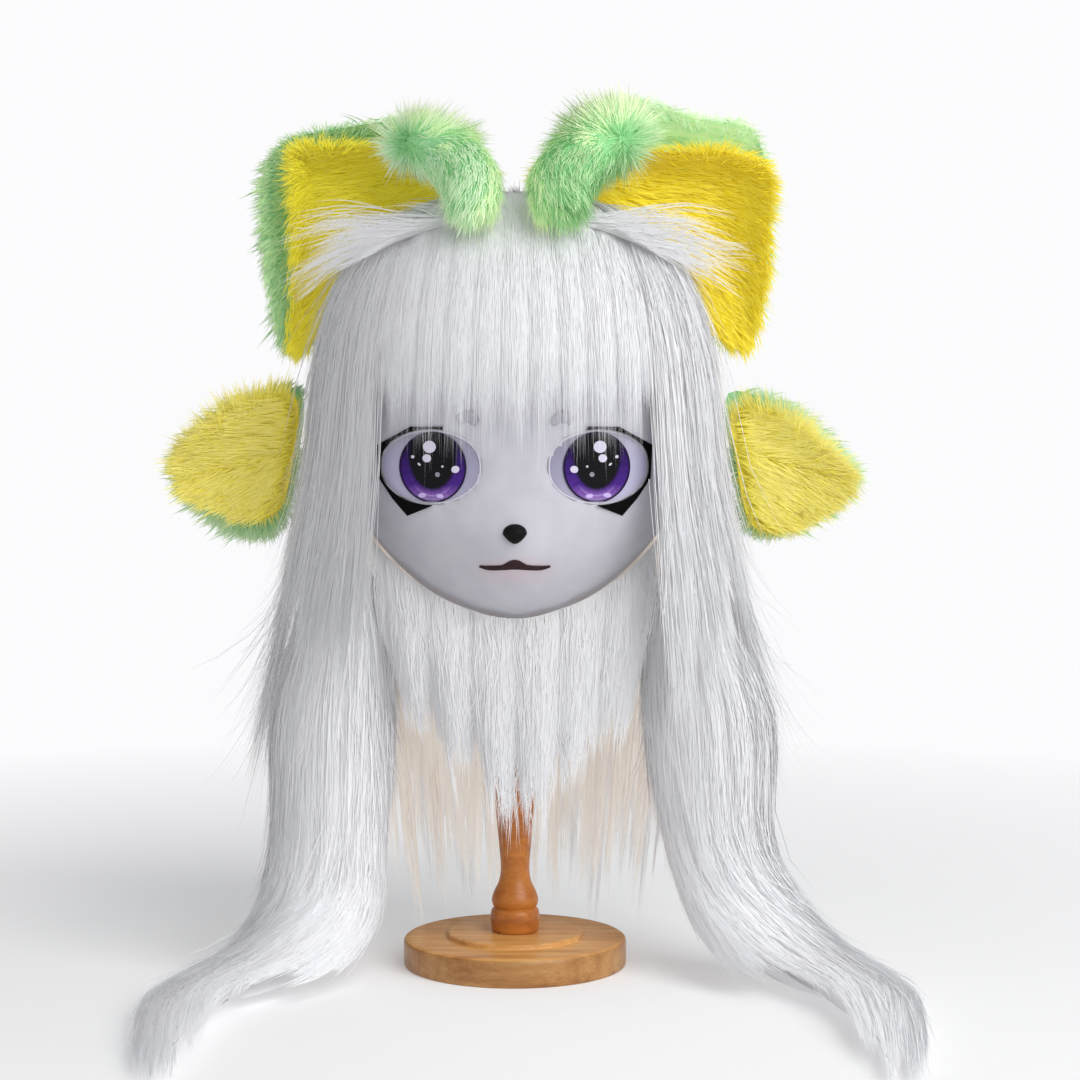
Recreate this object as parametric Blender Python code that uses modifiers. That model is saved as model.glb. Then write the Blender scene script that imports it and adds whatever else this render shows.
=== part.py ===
"""Fursuit head on a turned wooden stand: named solids in metres, Z up.

The face looks along -Y and the origin is the centre of the stand's underside.
Azimuth is 0 at the face and grows towards +X.
"""

import math

import bmesh
import bpy
from mathutils import Vector

# Gap kept between pieces that touch.
GAP = 0.0004

# Head form, without its long fur.
HEAD_HALF_WIDTH = 0.138
HEAD_FRONT = 0.128
HEAD_BACK = 0.125
WIDEST_Z = 0.410
HEAD_TOP_Z = 0.595
CHIN_Z = 0.2715
HEAD_WALL = 0.012
# Squareness seen from above, and seen from the front over and under the widest level.
PLAN_EXPONENT = 2.3
TOP_EXPONENT = 2.5
JAW_EXPONENT = 1.7
JAW_FORWARD = 0.020
MUZZLE_DEPTH = 0.010
MUZZLE_HALF_WIDTH = 0.036
MUZZLE_HALF_HEIGHT = 0.028
MUZZLE_Z = 0.336
# How far under the widest level the head goes on before the neck opening.
NECK_RISE_FRONT = math.radians(-75)
NECK_RISE_SIDE = math.radians(-42)
# Cosines of the azimuths between which the neck opening changes from side to front.
NECK_SIDE_COS = 0.0
NECK_FRONT_COS = 0.60
# The mask is the part of the head in front of this plane and under this level.
MASK_BACK_Y = -0.045
MASK_TOP_Z = 0.515

# Stand.
BASE_RADIUS = 0.0875
BASE_HEIGHT = 0.022
STEP_RADIUS = 0.0533
STEP_HEIGHT = 0.004
COLUMN_TOP_Z = 0.527
DOME_RADIUS = 0.055

# Face features, for the side at +X; the other side is mirrored.
EYE_X = 0.0617
EYE_Z = 0.395
EYE_HALF_WIDTH = 0.0374
EYE_HALF_HEIGHT = 0.0275
EYE_RECESS = 0.0018
EYE_WALL = 0.003
IRIS_X = 0.0604
IRIS_HALF_WIDTH = 0.0250
IRIS_HALF_HEIGHT = 0.0262
IRIS_WALL = 0.0008
IRIS_GAP = 0.0008
LASH_WALL = 0.0016
# Slack between the eye opening and the lash, and the lash's outer edge: the eye's own
# angle that each corner is drawn from, x outwards from the middle of the face, z.
LASH_SLACK = 0.0004
LASH = (
    (104, 0.0530, 0.4250),
    (66, 0.0769, 0.4247),
    (25, 0.1022, 0.4110),
    (-15, 0.1012, 0.3861),
    (-48, 0.0909, 0.3709),
    (-70, 0.0798, 0.3583),
    (-92, 0.0615, 0.3662),
)
NOSE_Z = 0.3467
NOSE_WIDTH = 0.0178
NOSE_HEIGHT = 0.0147
NOSE_DEPTH = 0.007
MOUTH_Z = 0.3222
# The mouth lies over the hollow under the muzzle.
MOUTH_LIFT = 0.0014

# Long fur.
CROWN_HALF_LINE = 0.070
# Slack between the head and the fur at the crown.
CROWN_SLACK = 0.0012
HEAD_RUN = 0.240
# Depth of the fur at the widest level, over the face and past it, and where it changes.
FRONT_LIFT = 0.0115
SIDE_LIFT = 0.0230
SIDE_FROM = 36
SIDE_FULL = 72
LOCK_RIDGE = 0.006
FUR_EDGE = math.radians(0.45)

# Long fur over the head. Azimuths in degrees; hem heights and sizes in metres.
# name, from, to, locks, hem_from, hem_middle, hem_to, jag, spread, wall
HEAD_FUR = (
    ("bangs", -39, 39, 9, 0.424, 0.424, 0.424, 0.022, 0.0, 0.006),
    ("side_lock_l", -108, -39, 5, 0.330, 0.295, 0.235, 0.035, 0.90, 0.0085),
    ("side_lock_r", 39, 108, 5, 0.235, 0.295, 0.330, 0.035, 0.90, 0.0085),
    ("hair_back", 108, 252, 10, 0.075, 0.050, 0.085, 0.040, -0.72, 0.012),
)

# Falls of long fur that lie on the ground at the end, as stations of their outer face.
# x, y, z, half_width, wall
TAIL_LEFT = (
    (-0.139, -0.047, 0.337, 0.014, 0.007),
    (-0.133, -0.050, 0.280, 0.033, 0.018),
    (-0.143, -0.053, 0.200, 0.051, 0.032),
    (-0.149, -0.056, 0.110, 0.049, 0.034),
    (-0.156, -0.064, 0.055, 0.050, 0.026),
    (-0.184, -0.098, 0.025, 0.054, 0.018),
    (-0.216, -0.160, 0.017, 0.052, 0.012),
    (-0.217, -0.260, 0.012, 0.044, 0.008),
    (-0.209, -0.355, 0.007, 0.038, 0.004),
)
TAIL_RIGHT = (
    (0.139, -0.047, 0.337, 0.014, 0.007),
    (0.135, -0.050, 0.280, 0.033, 0.018),
    (0.150, -0.053, 0.200, 0.050, 0.032),
    (0.166, -0.056, 0.110, 0.043, 0.034),
    (0.186, -0.064, 0.055, 0.050, 0.026),
    (0.216, -0.098, 0.025, 0.056, 0.018),
    (0.240, -0.160, 0.017, 0.052, 0.012),
    (0.238, -0.260, 0.012, 0.044, 0.008),
    (0.231, -0.355, 0.007, 0.036, 0.004),
)
TAIL_LOCKS = 5
TAIL_RIDGE = 0.007
TAIL_JAG = 0.07
# Share of the fall's length at which its inner edge ends.
TAIL_INNER_END = 0.66

RUFF_HALF_WIDTH = 0.094
RUFF_TIP_Z = 0.128
RUFF_RISE = 0.0875
RUFF_LOCKS = 6
RUFF_JAG = 0.022
RUFF_WALL = 0.010

# Upper ears, as closed outlines seen from the front.
# x, z
EAR_LEFT = (
    (-0.012, 0.613),
    (-0.034, 0.637),
    (-0.060, 0.652),
    (-0.091, 0.660),
    (-0.135, 0.655),
    (-0.177, 0.645),
    (-0.196, 0.619),
    (-0.1985, 0.583),
    (-0.192, 0.530),
    (-0.179, 0.480),
    (-0.168, 0.510),
    (-0.152, 0.552),
    (-0.122, 0.582),
    (-0.084, 0.6000),
    (-0.045, 0.6098),
)
EAR_RIGHT = (
    (0.012, 0.613),
    (0.032, 0.640),
    (0.062, 0.667),
    (0.090, 0.676),
    (0.140, 0.663),
    (0.183, 0.655),
    (0.198, 0.620),
    (0.199, 0.575),
    (0.194, 0.530),
    (0.181, 0.484),
    (0.168, 0.510),
    (0.152, 0.552),
    (0.122, 0.582),
    (0.084, 0.6000),
    (0.045, 0.6098),
)
# The point that sees all of the outline, where the cup is deepest.
EAR_MIDDLE_X = 0.150
EAR_MIDDLE_Z = 0.622
EAR_Y = 0.004
EAR_CUP = 0.030
EAR_BACK_WALL = 0.014
EAR_INNER_WALL = 0.008
EAR_INNER_SHARE = 0.88
# Slack between two curved pads that lie on each other.
PAD_SLACK = 0.0045

# Rolled inner rims of the upper ears.
# x, y, z, radius
FOLD_LEFT = (
    (-0.0345, -0.102, 0.5840, 0.018),
    (-0.0365, -0.0905, 0.6040, 0.025),
    (-0.0475, -0.064, 0.6240, 0.026),
    (-0.0680, -0.038, 0.6375, 0.024),
    (-0.0900, -0.017, 0.6385, 0.015),
)
FOLD_RIGHT = (
    (0.0310, -0.104, 0.5840, 0.018),
    (0.0360, -0.090, 0.6055, 0.025),
    (0.0510, -0.066, 0.6255, 0.028),
    (0.0715, -0.041, 0.6420, 0.027),
    (0.0930, -0.018, 0.6480, 0.017),
)

# White tufts in the upper ears, at -X; roots and tips of the first and last lock.
# x, z
TUFT_ROOT = ((-0.068, 0.580), (-0.102, 0.556))
TUFT_TIP = ((-0.160, 0.588), (-0.168, 0.530))
TUFT_LOCKS = 5
TUFT_JAG = 0.30
TUFT_WALL = 0.005
TUFT_Y = -0.012
# How far the tufts lie over the head at their roots, outside the side fur.
TUFT_LIFT = 0.022

# Side ears, as closed outlines seen from the front.
# x, z
SIDE_EAR_LEFT = (
    (-0.1650, 0.452),
    (-0.210, 0.448),
    (-0.240, 0.428),
    (-0.266, 0.403),
    (-0.270, 0.388),
    (-0.258, 0.366),
    (-0.236, 0.348),
    (-0.208, 0.336),
    (-0.180, 0.345),
    (-0.1680, 0.395),
)
SIDE_EAR_RIGHT = (
    (0.1650, 0.452),
    (0.212, 0.440),
    (0.238, 0.420),
    (0.262, 0.397),
    (0.270, 0.382),
    (0.257, 0.362),
    (0.236, 0.348),
    (0.208, 0.335),
    (0.180, 0.343),
    (0.1680, 0.395),
)
SIDE_EAR_Y = 0.010
SIDE_EAR_CUP = 0.012
SIDE_EAR_BACK_WALL = 0.009
SIDE_EAR_FRONT_WALL = 0.010
SIDE_EAR_FRONT_SHARE = 0.92

# name: colour, roughness
MATERIALS = {
    "wood": ((0.53, 0.28, 0.11), 0.35),
    "white_pile": ((0.80, 0.81, 0.84), 0.90),
    "white_fur": ((0.84, 0.84, 0.86), 0.85),
    "green_fur": ((0.30, 0.62, 0.30), 0.85),
    "yellow_fur": ((0.78, 0.62, 0.05), 0.85),
    "eye_white": ((0.75, 0.72, 0.86), 0.30),
    "eye_purple": ((0.16, 0.05, 0.35), 0.20),
    "black_felt": ((0.015, 0.014, 0.016), 0.70),
    "nose_black": ((0.010, 0.010, 0.011), 0.35),
    "mouth_brown": ((0.12, 0.06, 0.06), 0.60),
    "brow_grey": ((0.42, 0.41, 0.46), 0.80),
}


def clear_scene():
    for obj in list(bpy.data.objects):
        bpy.data.objects.remove(obj, do_unlink=True)


def make_collection(name):
    collection = bpy.data.collections.new(name)
    bpy.context.scene.collection.children.link(collection)
    return collection


def make_material(name):
    colour, roughness = MATERIALS[name]
    material = bpy.data.materials.new(name)
    material.use_nodes = True
    shader = material.node_tree.nodes["Principled BSDF"]
    shader.inputs["Base Color"].default_value = (*colour, 1.0)
    shader.inputs["Roughness"].default_value = roughness
    shader.inputs["Metallic"].default_value = 0.0
    material.diffuse_color = (*colour, 1.0)
    return material


def finish(obj, collection, material):
    """Puts a new object into its collection, with its material."""
    for old in list(obj.users_collection):
        old.objects.unlink(obj)
    collection.objects.link(obj)
    if material:
        obj.data.materials.clear()
        obj.data.materials.append(material)
    return obj


def mapped_grid(name, place, columns, rows, behind, share=None, back=None):
    """A primitive grid with its points moved to place(u, v), u and v from 0 to 1.

    The faces look away from the point behind. share(u, v) is the wall's share there,
    for thicken, and back(u, v) the way to the solid's other side, for deepen.
    """
    bm = bmesh.new()
    bmesh.ops.create_grid(bm, x_segments=columns, y_segments=rows, size=0.5)
    weights = bm.verts.layers.deform.verify()
    ways = bm.verts.layers.float_vector.new("back")
    for vert in bm.verts:
        u = min(max(vert.co.x + 0.5, 0.0), 1.0)
        v = min(max(vert.co.y + 0.5, 0.0), 1.0)
        vert[weights][0] = share(u, v) if share else 1.0
        vert[ways] = back(u, v) if back else (0.0, 0.0, 0.0)
        vert.co = place(u, v)
    bmesh.ops.remove_doubles(bm, verts=bm.verts, dist=1e-6)
    bm.normal_update()
    facing = sum(
        face.normal.dot(face.calc_center_median() - Vector(behind)) * face.calc_area()
        for face in bm.faces
    )
    if facing < 0:
        bmesh.ops.reverse_faces(bm, faces=bm.faces)
    for face in bm.faces:
        face.smooth = True
    mesh = bpy.data.meshes.new(name)
    bm.to_mesh(mesh)
    bm.free()
    obj = bpy.data.objects.new(name, mesh)
    obj.vertex_groups.new(name="wall")
    return obj


def thicken(obj, wall):
    """Gives a sheet its wall, grown away from the side that it shows."""
    modifier = obj.modifiers.new("Wall", "SOLIDIFY")
    modifier.thickness = wall
    modifier.offset = -1
    modifier.vertex_group = "wall"
    return obj


def deepen(obj):
    """Makes a sheet a solid whose other side is where its points' ways back lead."""
    bm = bmesh.new()
    bm.from_mesh(obj.data)
    ways = bm.verts.layers.float_vector["back"]
    grown = bmesh.ops.extrude_face_region(bm, geom=bm.faces[:])
    for item in grown["geom"]:
        if isinstance(item, bmesh.types.BMVert):
            item.co += item[ways]
    bmesh.ops.recalc_face_normals(bm, faces=bm.faces)
    bm.to_mesh(obj.data)
    bm.free()
    return obj


def between(a, b, share):
    return a + (b - a) * share


def smooth_row(table, t):
    """The table's row at t from 0 to 1, along a smooth curve through all rows."""
    place = t * (len(table) - 1)
    index = min(int(place), len(table) - 2)
    w = place - index
    rows = [table[min(max(index + k, 0), len(table) - 1)] for k in (-1, 0, 1, 2)]
    return [
        0.5 * (2 * b + (c - a) * w + (2 * a - 5 * b + 4 * c - d) * w**2 + (3 * b - a - 3 * c + d) * w**3)
        for a, b, c, d in zip(*rows)
    ]


def outline_point(outline, u):
    """Point of a closed outline at u from 0 to 1, along a smooth curve."""
    count = len(outline)
    place = (u % 1.0) * count
    index = int(place)
    w = place - index
    rows = [outline[(index + k) % count] for k in (-1, 0, 1, 2)]
    return [
        0.5 * (2 * b + (c - a) * w + (2 * a - 5 * b + 4 * c - d) * w**2 + (3 * b - a - 3 * c + d) * w**3)
        for a, b, c, d in zip(*rows)
    ]


def outline_centre(outline):
    count = len(outline)
    return sum(x for x, z in outline) / count, sum(z for x, z in outline) / count


def muzzle(x, z):
    """How far the muzzle stands out of the face at x, z."""
    reach = (x / MUZZLE_HALF_WIDTH) ** 2 + ((z - MUZZLE_Z) / MUZZLE_HALF_HEIGHT) ** 2
    return MUZZLE_DEPTH * math.exp(-reach)


def level_radius(azimuth, grow):
    """Distance from the axis to the head's outline seen from above."""
    depth = HEAD_FRONT if math.cos(azimuth) > 0 else HEAD_BACK
    across = abs(math.sin(azimuth)) / (HEAD_HALF_WIDTH + grow)
    along = abs(math.cos(azimuth)) / (depth + grow)
    return (across**PLAN_EXPONENT + along**PLAN_EXPONENT) ** (-1 / PLAN_EXPONENT)


def height_share(x, y, grow, exponent):
    """Share of the full height that the head has at a point of its plan."""
    depth = (HEAD_FRONT if y < 0 else HEAD_BACK) + grow
    plan = max(0.0, 1 - (abs(y) / depth) ** PLAN_EXPONENT)
    rest = plan ** (exponent / PLAN_EXPONENT) - (abs(x) / (HEAD_HALF_WIDTH + grow)) ** exponent
    return max(0.0, rest) ** (1 / exponent)


def head_point(azimuth, rise, grow=0.0, crown=0.0):
    """Point of the head at an angle over its widest level, grown by a distance.

    With crown set, the lines of equal azimuth leave a line that long instead of a pole.
    """
    reach = math.cos(rise)
    edge = level_radius(azimuth, grow)
    start = crown * math.sin(azimuth)
    x = between(start, edge * math.sin(azimuth), reach)
    y = -edge * math.cos(azimuth) * reach
    if rise >= 0:
        share = height_share(x, y, grow, TOP_EXPONENT)
        z = WIDEST_Z + (HEAD_TOP_Z - WIDEST_Z + grow) * share
    else:
        share = height_share(x, y, grow, JAW_EXPONENT)
        z = WIDEST_Z - (WIDEST_Z - CHIN_Z + grow) * share
        if y < 0:
            y -= JAW_FORWARD * share**2 * min(1.0, -y / 0.05)
    if y < 0 and not grow:
        y -= muzzle(x, z)
    return Vector((x, y, z))


def face_y(x, z, grow=0.0):
    """Front of the head at x, z, or 0 beside the head."""
    over = z > WIDEST_Z
    height = (HEAD_TOP_Z - WIDEST_Z if over else WIDEST_Z - CHIN_Z) + grow
    exponent = TOP_EXPONENT if over else JAW_EXPONENT
    share = abs(z - WIDEST_Z) / height
    outline = (abs(x) / (HEAD_HALF_WIDTH + grow)) ** exponent + share**exponent
    inside = max(0.0, 1 - outline ** (PLAN_EXPONENT / exponent))
    y = -(HEAD_FRONT + grow) * inside ** (1 / PLAN_EXPONENT)
    if not over:
        y -= JAW_FORWARD * share**2 * min(1.0, -y / 0.05)
    return y if grow else y - muzzle(x, z)


def turned(name, profile, collection, material, steps):
    """A turned piece from its profile, given as radius and height from the top down."""
    mesh = bpy.data.meshes.new(name)
    points = [(radius, 0.0, z) for radius, z in profile]
    mesh.from_pydata(points, [(i, i + 1) for i in range(len(points) - 1)], [])
    obj = bpy.data.objects.new(name, mesh)
    screw = obj.modifiers.new("Turn", "SCREW")
    screw.steps = steps
    screw.render_steps = steps
    screw.use_merge_vertices = True
    screw.merge_threshold = 0.0001
    screw.use_smooth_shade = True
    return finish(obj, collection, material)


def stand(collection, wood):
    base_profile = (
        (0.0, BASE_HEIGHT + STEP_HEIGHT),
        (STEP_RADIUS - 0.0012, BASE_HEIGHT + STEP_HEIGHT),
        (STEP_RADIUS, BASE_HEIGHT + STEP_HEIGHT - 0.0012),
        (STEP_RADIUS, BASE_HEIGHT),
        (BASE_RADIUS - 0.003, BASE_HEIGHT),
        (BASE_RADIUS - 0.0008, BASE_HEIGHT - 0.001),
        (BASE_RADIUS, BASE_HEIGHT - 0.0035),
        (BASE_RADIUS, 0.0015),
        (BASE_RADIUS - 0.0015, 0.0),
        (0.0, 0.0),
    )
    turned("stand_base", base_profile, collection, wood, 32)
    foot_z = BASE_HEIGHT + STEP_HEIGHT + GAP
    column_profile = (
        (0.0, COLUMN_TOP_Z),
        (0.0175, COLUMN_TOP_Z),
        (0.0175, 0.200),
        (0.0163, 0.140),
        (0.0131, 0.100),
        (0.0113, 0.0775),
        (0.0127, 0.066),
        (0.0165, 0.0575),
        (0.0183, 0.052),
        (0.0178, 0.0478),
        (0.0162, 0.0448),
        (0.0186, 0.0425),
        (0.0195, 0.0362),
        (0.0188, 0.0295),
        (0.0180, foot_z),
        (0.0, foot_z),
    )
    turned("stand_column", column_profile, collection, wood, 16)
    centre_z = COLUMN_TOP_Z + GAP
    arc = [math.radians(90 - 15 * step) for step in range(7)]
    dome_profile = [(DOME_RADIUS * math.cos(a), centre_z + DOME_RADIUS * math.sin(a)) for a in arc]
    dome_profile[0] = (0.0, centre_z + DOME_RADIUS)
    turned("stand_dome", dome_profile + [(0.0, centre_z)], collection, wood, 16)


def eye_point(angle, inset=0.0):
    """Point of an eye opening, from its middle: an oval with a flatter lower edge."""
    x = (EYE_HALF_WIDTH - inset) * math.cos(angle)
    z = (EYE_HALF_HEIGHT - inset) * math.copysign(abs(math.sin(angle)) ** 0.85, math.sin(angle))
    if z < 0:
        z *= 1 - 0.06 * math.cos(angle) ** 2
    return x, z


def eye_outline(side, inset=0.0):
    rows = [eye_point(math.radians(15 * step), inset) for step in range(24)]
    return [(side * EYE_X + x, EYE_Z + z) for x, z in rows]


def prism(name, outline, y_from, y_to, collection):
    """A closed block with the outline seen from the front, for cutting."""
    bm = bmesh.new()
    ring = [bm.verts.new((x, y_from, z)) for x, z in outline]
    face = bm.faces.new(ring)
    grown = bmesh.ops.extrude_face_region(bm, geom=[face])
    moved = [item for item in grown["geom"] if isinstance(item, bmesh.types.BMVert)]
    bmesh.ops.translate(bm, verts=moved, vec=(0, y_to - y_from, 0))
    bmesh.ops.recalc_face_normals(bm, faces=bm.faces)
    mesh = bpy.data.meshes.new(name)
    bm.to_mesh(mesh)
    bm.free()
    return finish(bpy.data.objects.new(name, mesh), collection, None)


def box(name, low, high, collection):
    bpy.ops.mesh.primitive_cube_add(size=1.0)
    obj = bpy.context.object
    obj.name = name
    obj.scale = [b - a for a, b in zip(low, high)]
    obj.location = [(a + b) / 2 for a, b in zip(low, high)]
    return finish(obj, collection, None)


def cut(obj, cutter, operation):
    modifier = obj.modifiers.new("Cut", "BOOLEAN")
    modifier.operation = operation
    modifier.solver = "EXACT"
    modifier.object = cutter


def head_shell(name, collection, material):
    """The whole hollow head, open below for the neck."""

    def place(u, v):
        azimuth = math.radians(-180 + 360 * u)
        front = (math.cos(azimuth) - NECK_SIDE_COS) / (NECK_FRONT_COS - NECK_SIDE_COS)
        front = min(1.0, max(0.0, front))
        front *= front * (3 - 2 * front)
        neck_rise = between(NECK_RISE_SIDE, NECK_RISE_FRONT, front)
        rise = between(math.radians(90), neck_rise, v)
        return head_point(azimuth, rise)

    obj = mapped_grid(name, place, 28, 11, behind=(0, 0, WIDEST_Z))
    thicken(obj, HEAD_WALL)
    return finish(obj, collection, material)


def head(collection, cutters, material):
    low = (-0.3, -0.3, 0.2)
    window = box("mask_window", low, (0.3, MASK_BACK_Y, MASK_TOP_Z), cutters)
    wide_window = box("hood_window", low, (0.3, MASK_BACK_Y + GAP, MASK_TOP_Z + GAP), cutters)
    mask = head_shell("face_mask", collection, material)
    cut(mask, window, "INTERSECT")
    for side, suffix in ((-1, "l"), (1, "r")):
        opening = prism(f"eye_opening_{suffix}", eye_outline(side), -0.2, -0.03, cutters)
        cut(mask, opening, "DIFFERENCE")
    hood = head_shell("head_hood", collection, material)
    cut(hood, wide_window, "DIFFERENCE")


def pad(name, outline, front_y, wall, sides, rings, collection, material, centre=None):
    """A pad with an outline seen from the front; front_y(x, z, share) is its front."""
    middle_x, middle_z = centre or outline_centre(outline)

    def place(u, v):
        x, z = outline_point(outline, u)
        x = between(middle_x, x, v)
        z = between(middle_z, z, v)
        return Vector((x, front_y(x, z, v), z))

    def back(u, v):
        return Vector((0.0, wall, 0.0))

    obj = mapped_grid(name, place, sides, rings, behind=(middle_x, 1.0, middle_z), back=back)
    deepen(obj)
    return finish(obj, collection, material)


def face_strip(name, stations, columns, wall, lift, collection, material):
    """A flat strip on the face along stations of x, z and half width."""

    def place(u, v):
        x, z, half = smooth_row(stations, u)
        ahead = smooth_row(stations, min(1.0, u + 0.01))
        back = smooth_row(stations, max(0.0, u - 0.01))
        along = Vector((ahead[0] - back[0], 0.0, ahead[1] - back[1])).normalized()
        across = Vector((-along.z, 0.0, along.x))
        point = Vector((x, 0.0, z)) + across * half * (2 * v - 1)
        point.y = face_y(point.x, point.z) - lift - wall
        return point

    obj = mapped_grid(name, place, columns, 1, behind=(stations[0][0], 1.0, stations[0][1]))
    thicken(obj, wall)
    return finish(obj, collection, material)


def eyelash(name, side, collection, material):
    """Felt round the outer half of an eye, its outer edge cut in straight lines."""
    spans = len(LASH) - 1

    def place(u, v):
        index = min(int(u * spans + 1e-9), spans - 1)
        share = u * spans - index
        angle, x, z = (between(a, b, share) for a, b in zip(LASH[index], LASH[index + 1]))
        inner_x, inner_z = eye_point(math.radians(angle), -LASH_SLACK)
        x = side * between(EYE_X + inner_x, x, v)
        z = between(EYE_Z + inner_z, z, v)
        return Vector((x, face_y(x, z) - GAP - LASH_WALL, z))

    def back(u, v):
        return Vector((0.0, LASH_WALL, 0.0))

    lash = mapped_grid(name, place, 3 * spans, 1, behind=(side * EYE_X, 1.0, EYE_Z), back=back)
    deepen(lash)
    finish(lash, collection, material)


def eyes(collection, materials):
    # x measured outwards from the middle of the face, z, half_width
    brow = (
        (0.0270, 0.4275, 0.0030),
        (0.0345, 0.4325, 0.0048),
        (0.0420, 0.4290, 0.0036),
    )
    for side, suffix in ((-1, "l"), (1, "r")):
        def eye_front(x, z, share):
            return face_y(x, z) + EYE_RECESS

        def iris_front(x, z, share):
            return face_y(x, z) + EYE_RECESS - IRIS_GAP - IRIS_WALL

        pad(f"eye_white_{suffix}", eye_outline(side, GAP + 0.0003), eye_front, EYE_WALL, 20, 2,
            collection, materials["eye_white"])
        iris = []
        for step in range(16):
            angle = math.radians(22.5 * step)
            x = side * IRIS_X + IRIS_HALF_WIDTH * math.cos(angle)
            z = max(EYE_Z + IRIS_HALF_HEIGHT * math.sin(angle), EYE_Z - EYE_HALF_HEIGHT + 0.0022)
            iris.append((x, z))
        pad(f"iris_{suffix}", iris, iris_front, IRIS_WALL, 14, 2, collection,
            materials["eye_purple"], centre=(side * IRIS_X, EYE_Z))
        eyelash(f"eyelash_{suffix}", side, collection, materials["black_felt"])
        mirrored = [(side * x, z, half) for x, z, half in brow]
        face_strip(f"brow_{suffix}", mirrored, 4, 0.0006, GAP, collection,
                   materials["brow_grey"])


def nose_and_mouth(collection, materials):
    outline = []
    for step in range(16):
        angle = math.radians(22.5 * step)
        z = NOSE_HEIGHT / 2 * math.sin(angle)
        narrow = 1 - 0.32 * max(0.0, -z / (NOSE_HEIGHT / 2))
        outline.append((NOSE_WIDTH / 2 * math.cos(angle) * narrow, NOSE_Z + z))

    def back(u, v):
        return Vector((0.0, NOSE_DEPTH * between(1.0, 0.25, v**2), 0.0))

    def place(u, v):
        x, z = outline_point(outline, u)
        x = x * v
        z = between(NOSE_Z, z, v)
        return Vector((x, face_y(x, z) - GAP, z)) - back(u, v)

    nose = mapped_grid("nose", place, 12, 2, behind=(0, 1, NOSE_Z), back=back)
    deepen(nose)
    finish(nose, collection, materials["nose_black"])

    # x, z, half_width
    mouth = (
        (-0.0260, MOUTH_Z - 0.0006, 0.0013),
        (-0.0190, MOUTH_Z - 0.0014, 0.0018),
        (-0.0090, MOUTH_Z - 0.0008, 0.0021),
        (0.0000, MOUTH_Z + 0.0026, 0.0026),
        (0.0090, MOUTH_Z - 0.0008, 0.0021),
        (0.0190, MOUTH_Z - 0.0014, 0.0018),
        (0.0260, MOUTH_Z - 0.0006, 0.0013),
    )
    face_strip("mouth", mouth, 12, 0.0012, MOUTH_LIFT, collection, materials["mouth_brown"])


def head_fur(collection, material):
    for name, start, end, locks, hem_from, hem_middle, hem_to, jag, spread, wall in HEAD_FUR:
        first = math.radians(start) + FUR_EDGE
        last = math.radians(end) - FUR_EDGE

        def place(u, v, depth=0.0):
            azimuth = between(first, last, u)
            ridge = math.sin(math.pi * ((u * locks) % 1.0))
            hem = between(hem_from, hem_middle, min(1.0, 2 * u)) if u < 0.5 else between(
                hem_middle, hem_to, 2 * u - 1)
            hem -= jag * (ridge - 0.5)
            run = between(0.012, HEAD_RUN + WIDEST_Z - hem, v)
            over = min(1.0, run / HEAD_RUN)
            side = math.sin(azimuth) ** 2
            turn = (abs(math.degrees(azimuth)) - SIDE_FROM) / (SIDE_FULL - SIDE_FROM)
            turn = min(1.0, max(0.0, turn))
            level_lift = between(FRONT_LIFT, SIDE_LIFT, turn * turn * (3 - 2 * turn))
            lift = between(CROWN_SLACK + wall, level_lift, math.sin(over * math.pi / 2))
            grow = lift + LOCK_RIDGE * ridge * between(0.3, 1.0, over) - depth
            point = head_point(azimuth, math.radians(90) * (1 - over), grow, CROWN_HALF_LINE)
            drop = max(0.0, run - HEAD_RUN)
            point.x *= 1 + spread * drop * (side if spread > 0 else 1.0)
            point.z -= drop
            return point

        def back(u, v):
            share = 1.0 if v < 0.7 else between(1.0, 0.35, (v - 0.7) / 0.3)
            return place(u, v, wall * share) - place(u, v)

        rows = 6 if name == "bangs" else 10
        obj = mapped_grid(name, place, locks * 2, rows, behind=(0, 0, WIDEST_Z), back=back)
        deepen(obj)
        finish(obj, collection, material)


def tail(name, stations, collection, material):
    """A fall of long fur that hangs, then lies on the ground."""
    outer = -1 if stations[0][0] < 0 else 1
    thickest = max(row[4] for row in stations)

    def end_share(u):
        across = (2 * u - 1) * outer
        inner = min(1.0, max(0.0, (0.35 - across) / 1.1))
        ridge = math.sin(math.pi * ((u * TAIL_LOCKS) % 1.0))
        return between(1.0, TAIL_INNER_END, inner) - TAIL_JAG * (1 - ridge)

    def place(u, v, depth=0.0):
        t = v * end_share(u)
        x, y, z, half, wall = smooth_row(stations, t)
        ahead = Vector(smooth_row(stations, min(1.0, t + 0.02))[:3])
        behind = Vector(smooth_row(stations, max(0.0, t - 0.02))[:3])
        along = (ahead - behind).normalized()
        across = Vector((1.0, 0.0, 0.0))
        if abs(along.z) < 0.99:
            flat = Vector((-along.y, along.x, 0.0)).normalized()
            if flat.x < 0:
                flat = -flat
            across = across.lerp(flat, 1 - abs(along.z)).normalized()
        out = along.cross(across).normalized()
        ridge = math.sin(math.pi * ((u * TAIL_LOCKS) % 1.0))
        round_edge = 1 - abs(2 * u - 1) ** 2
        lift = (TAIL_RIDGE * ridge + 0.010 * round_edge) * wall / thickest
        return Vector((x, y, z)) + across * half * (2 * u - 1) + out * (lift - depth)

    def back(u, v):
        wall = smooth_row(stations, v * end_share(u))[4]
        return place(u, v, wall) - place(u, v)

    obj = mapped_grid(name, place, TAIL_LOCKS * 3, 14, behind=(stations[3][0], 0.3, -0.3),
                      back=back)
    deepen(obj)
    finish(obj, collection, material)


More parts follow.
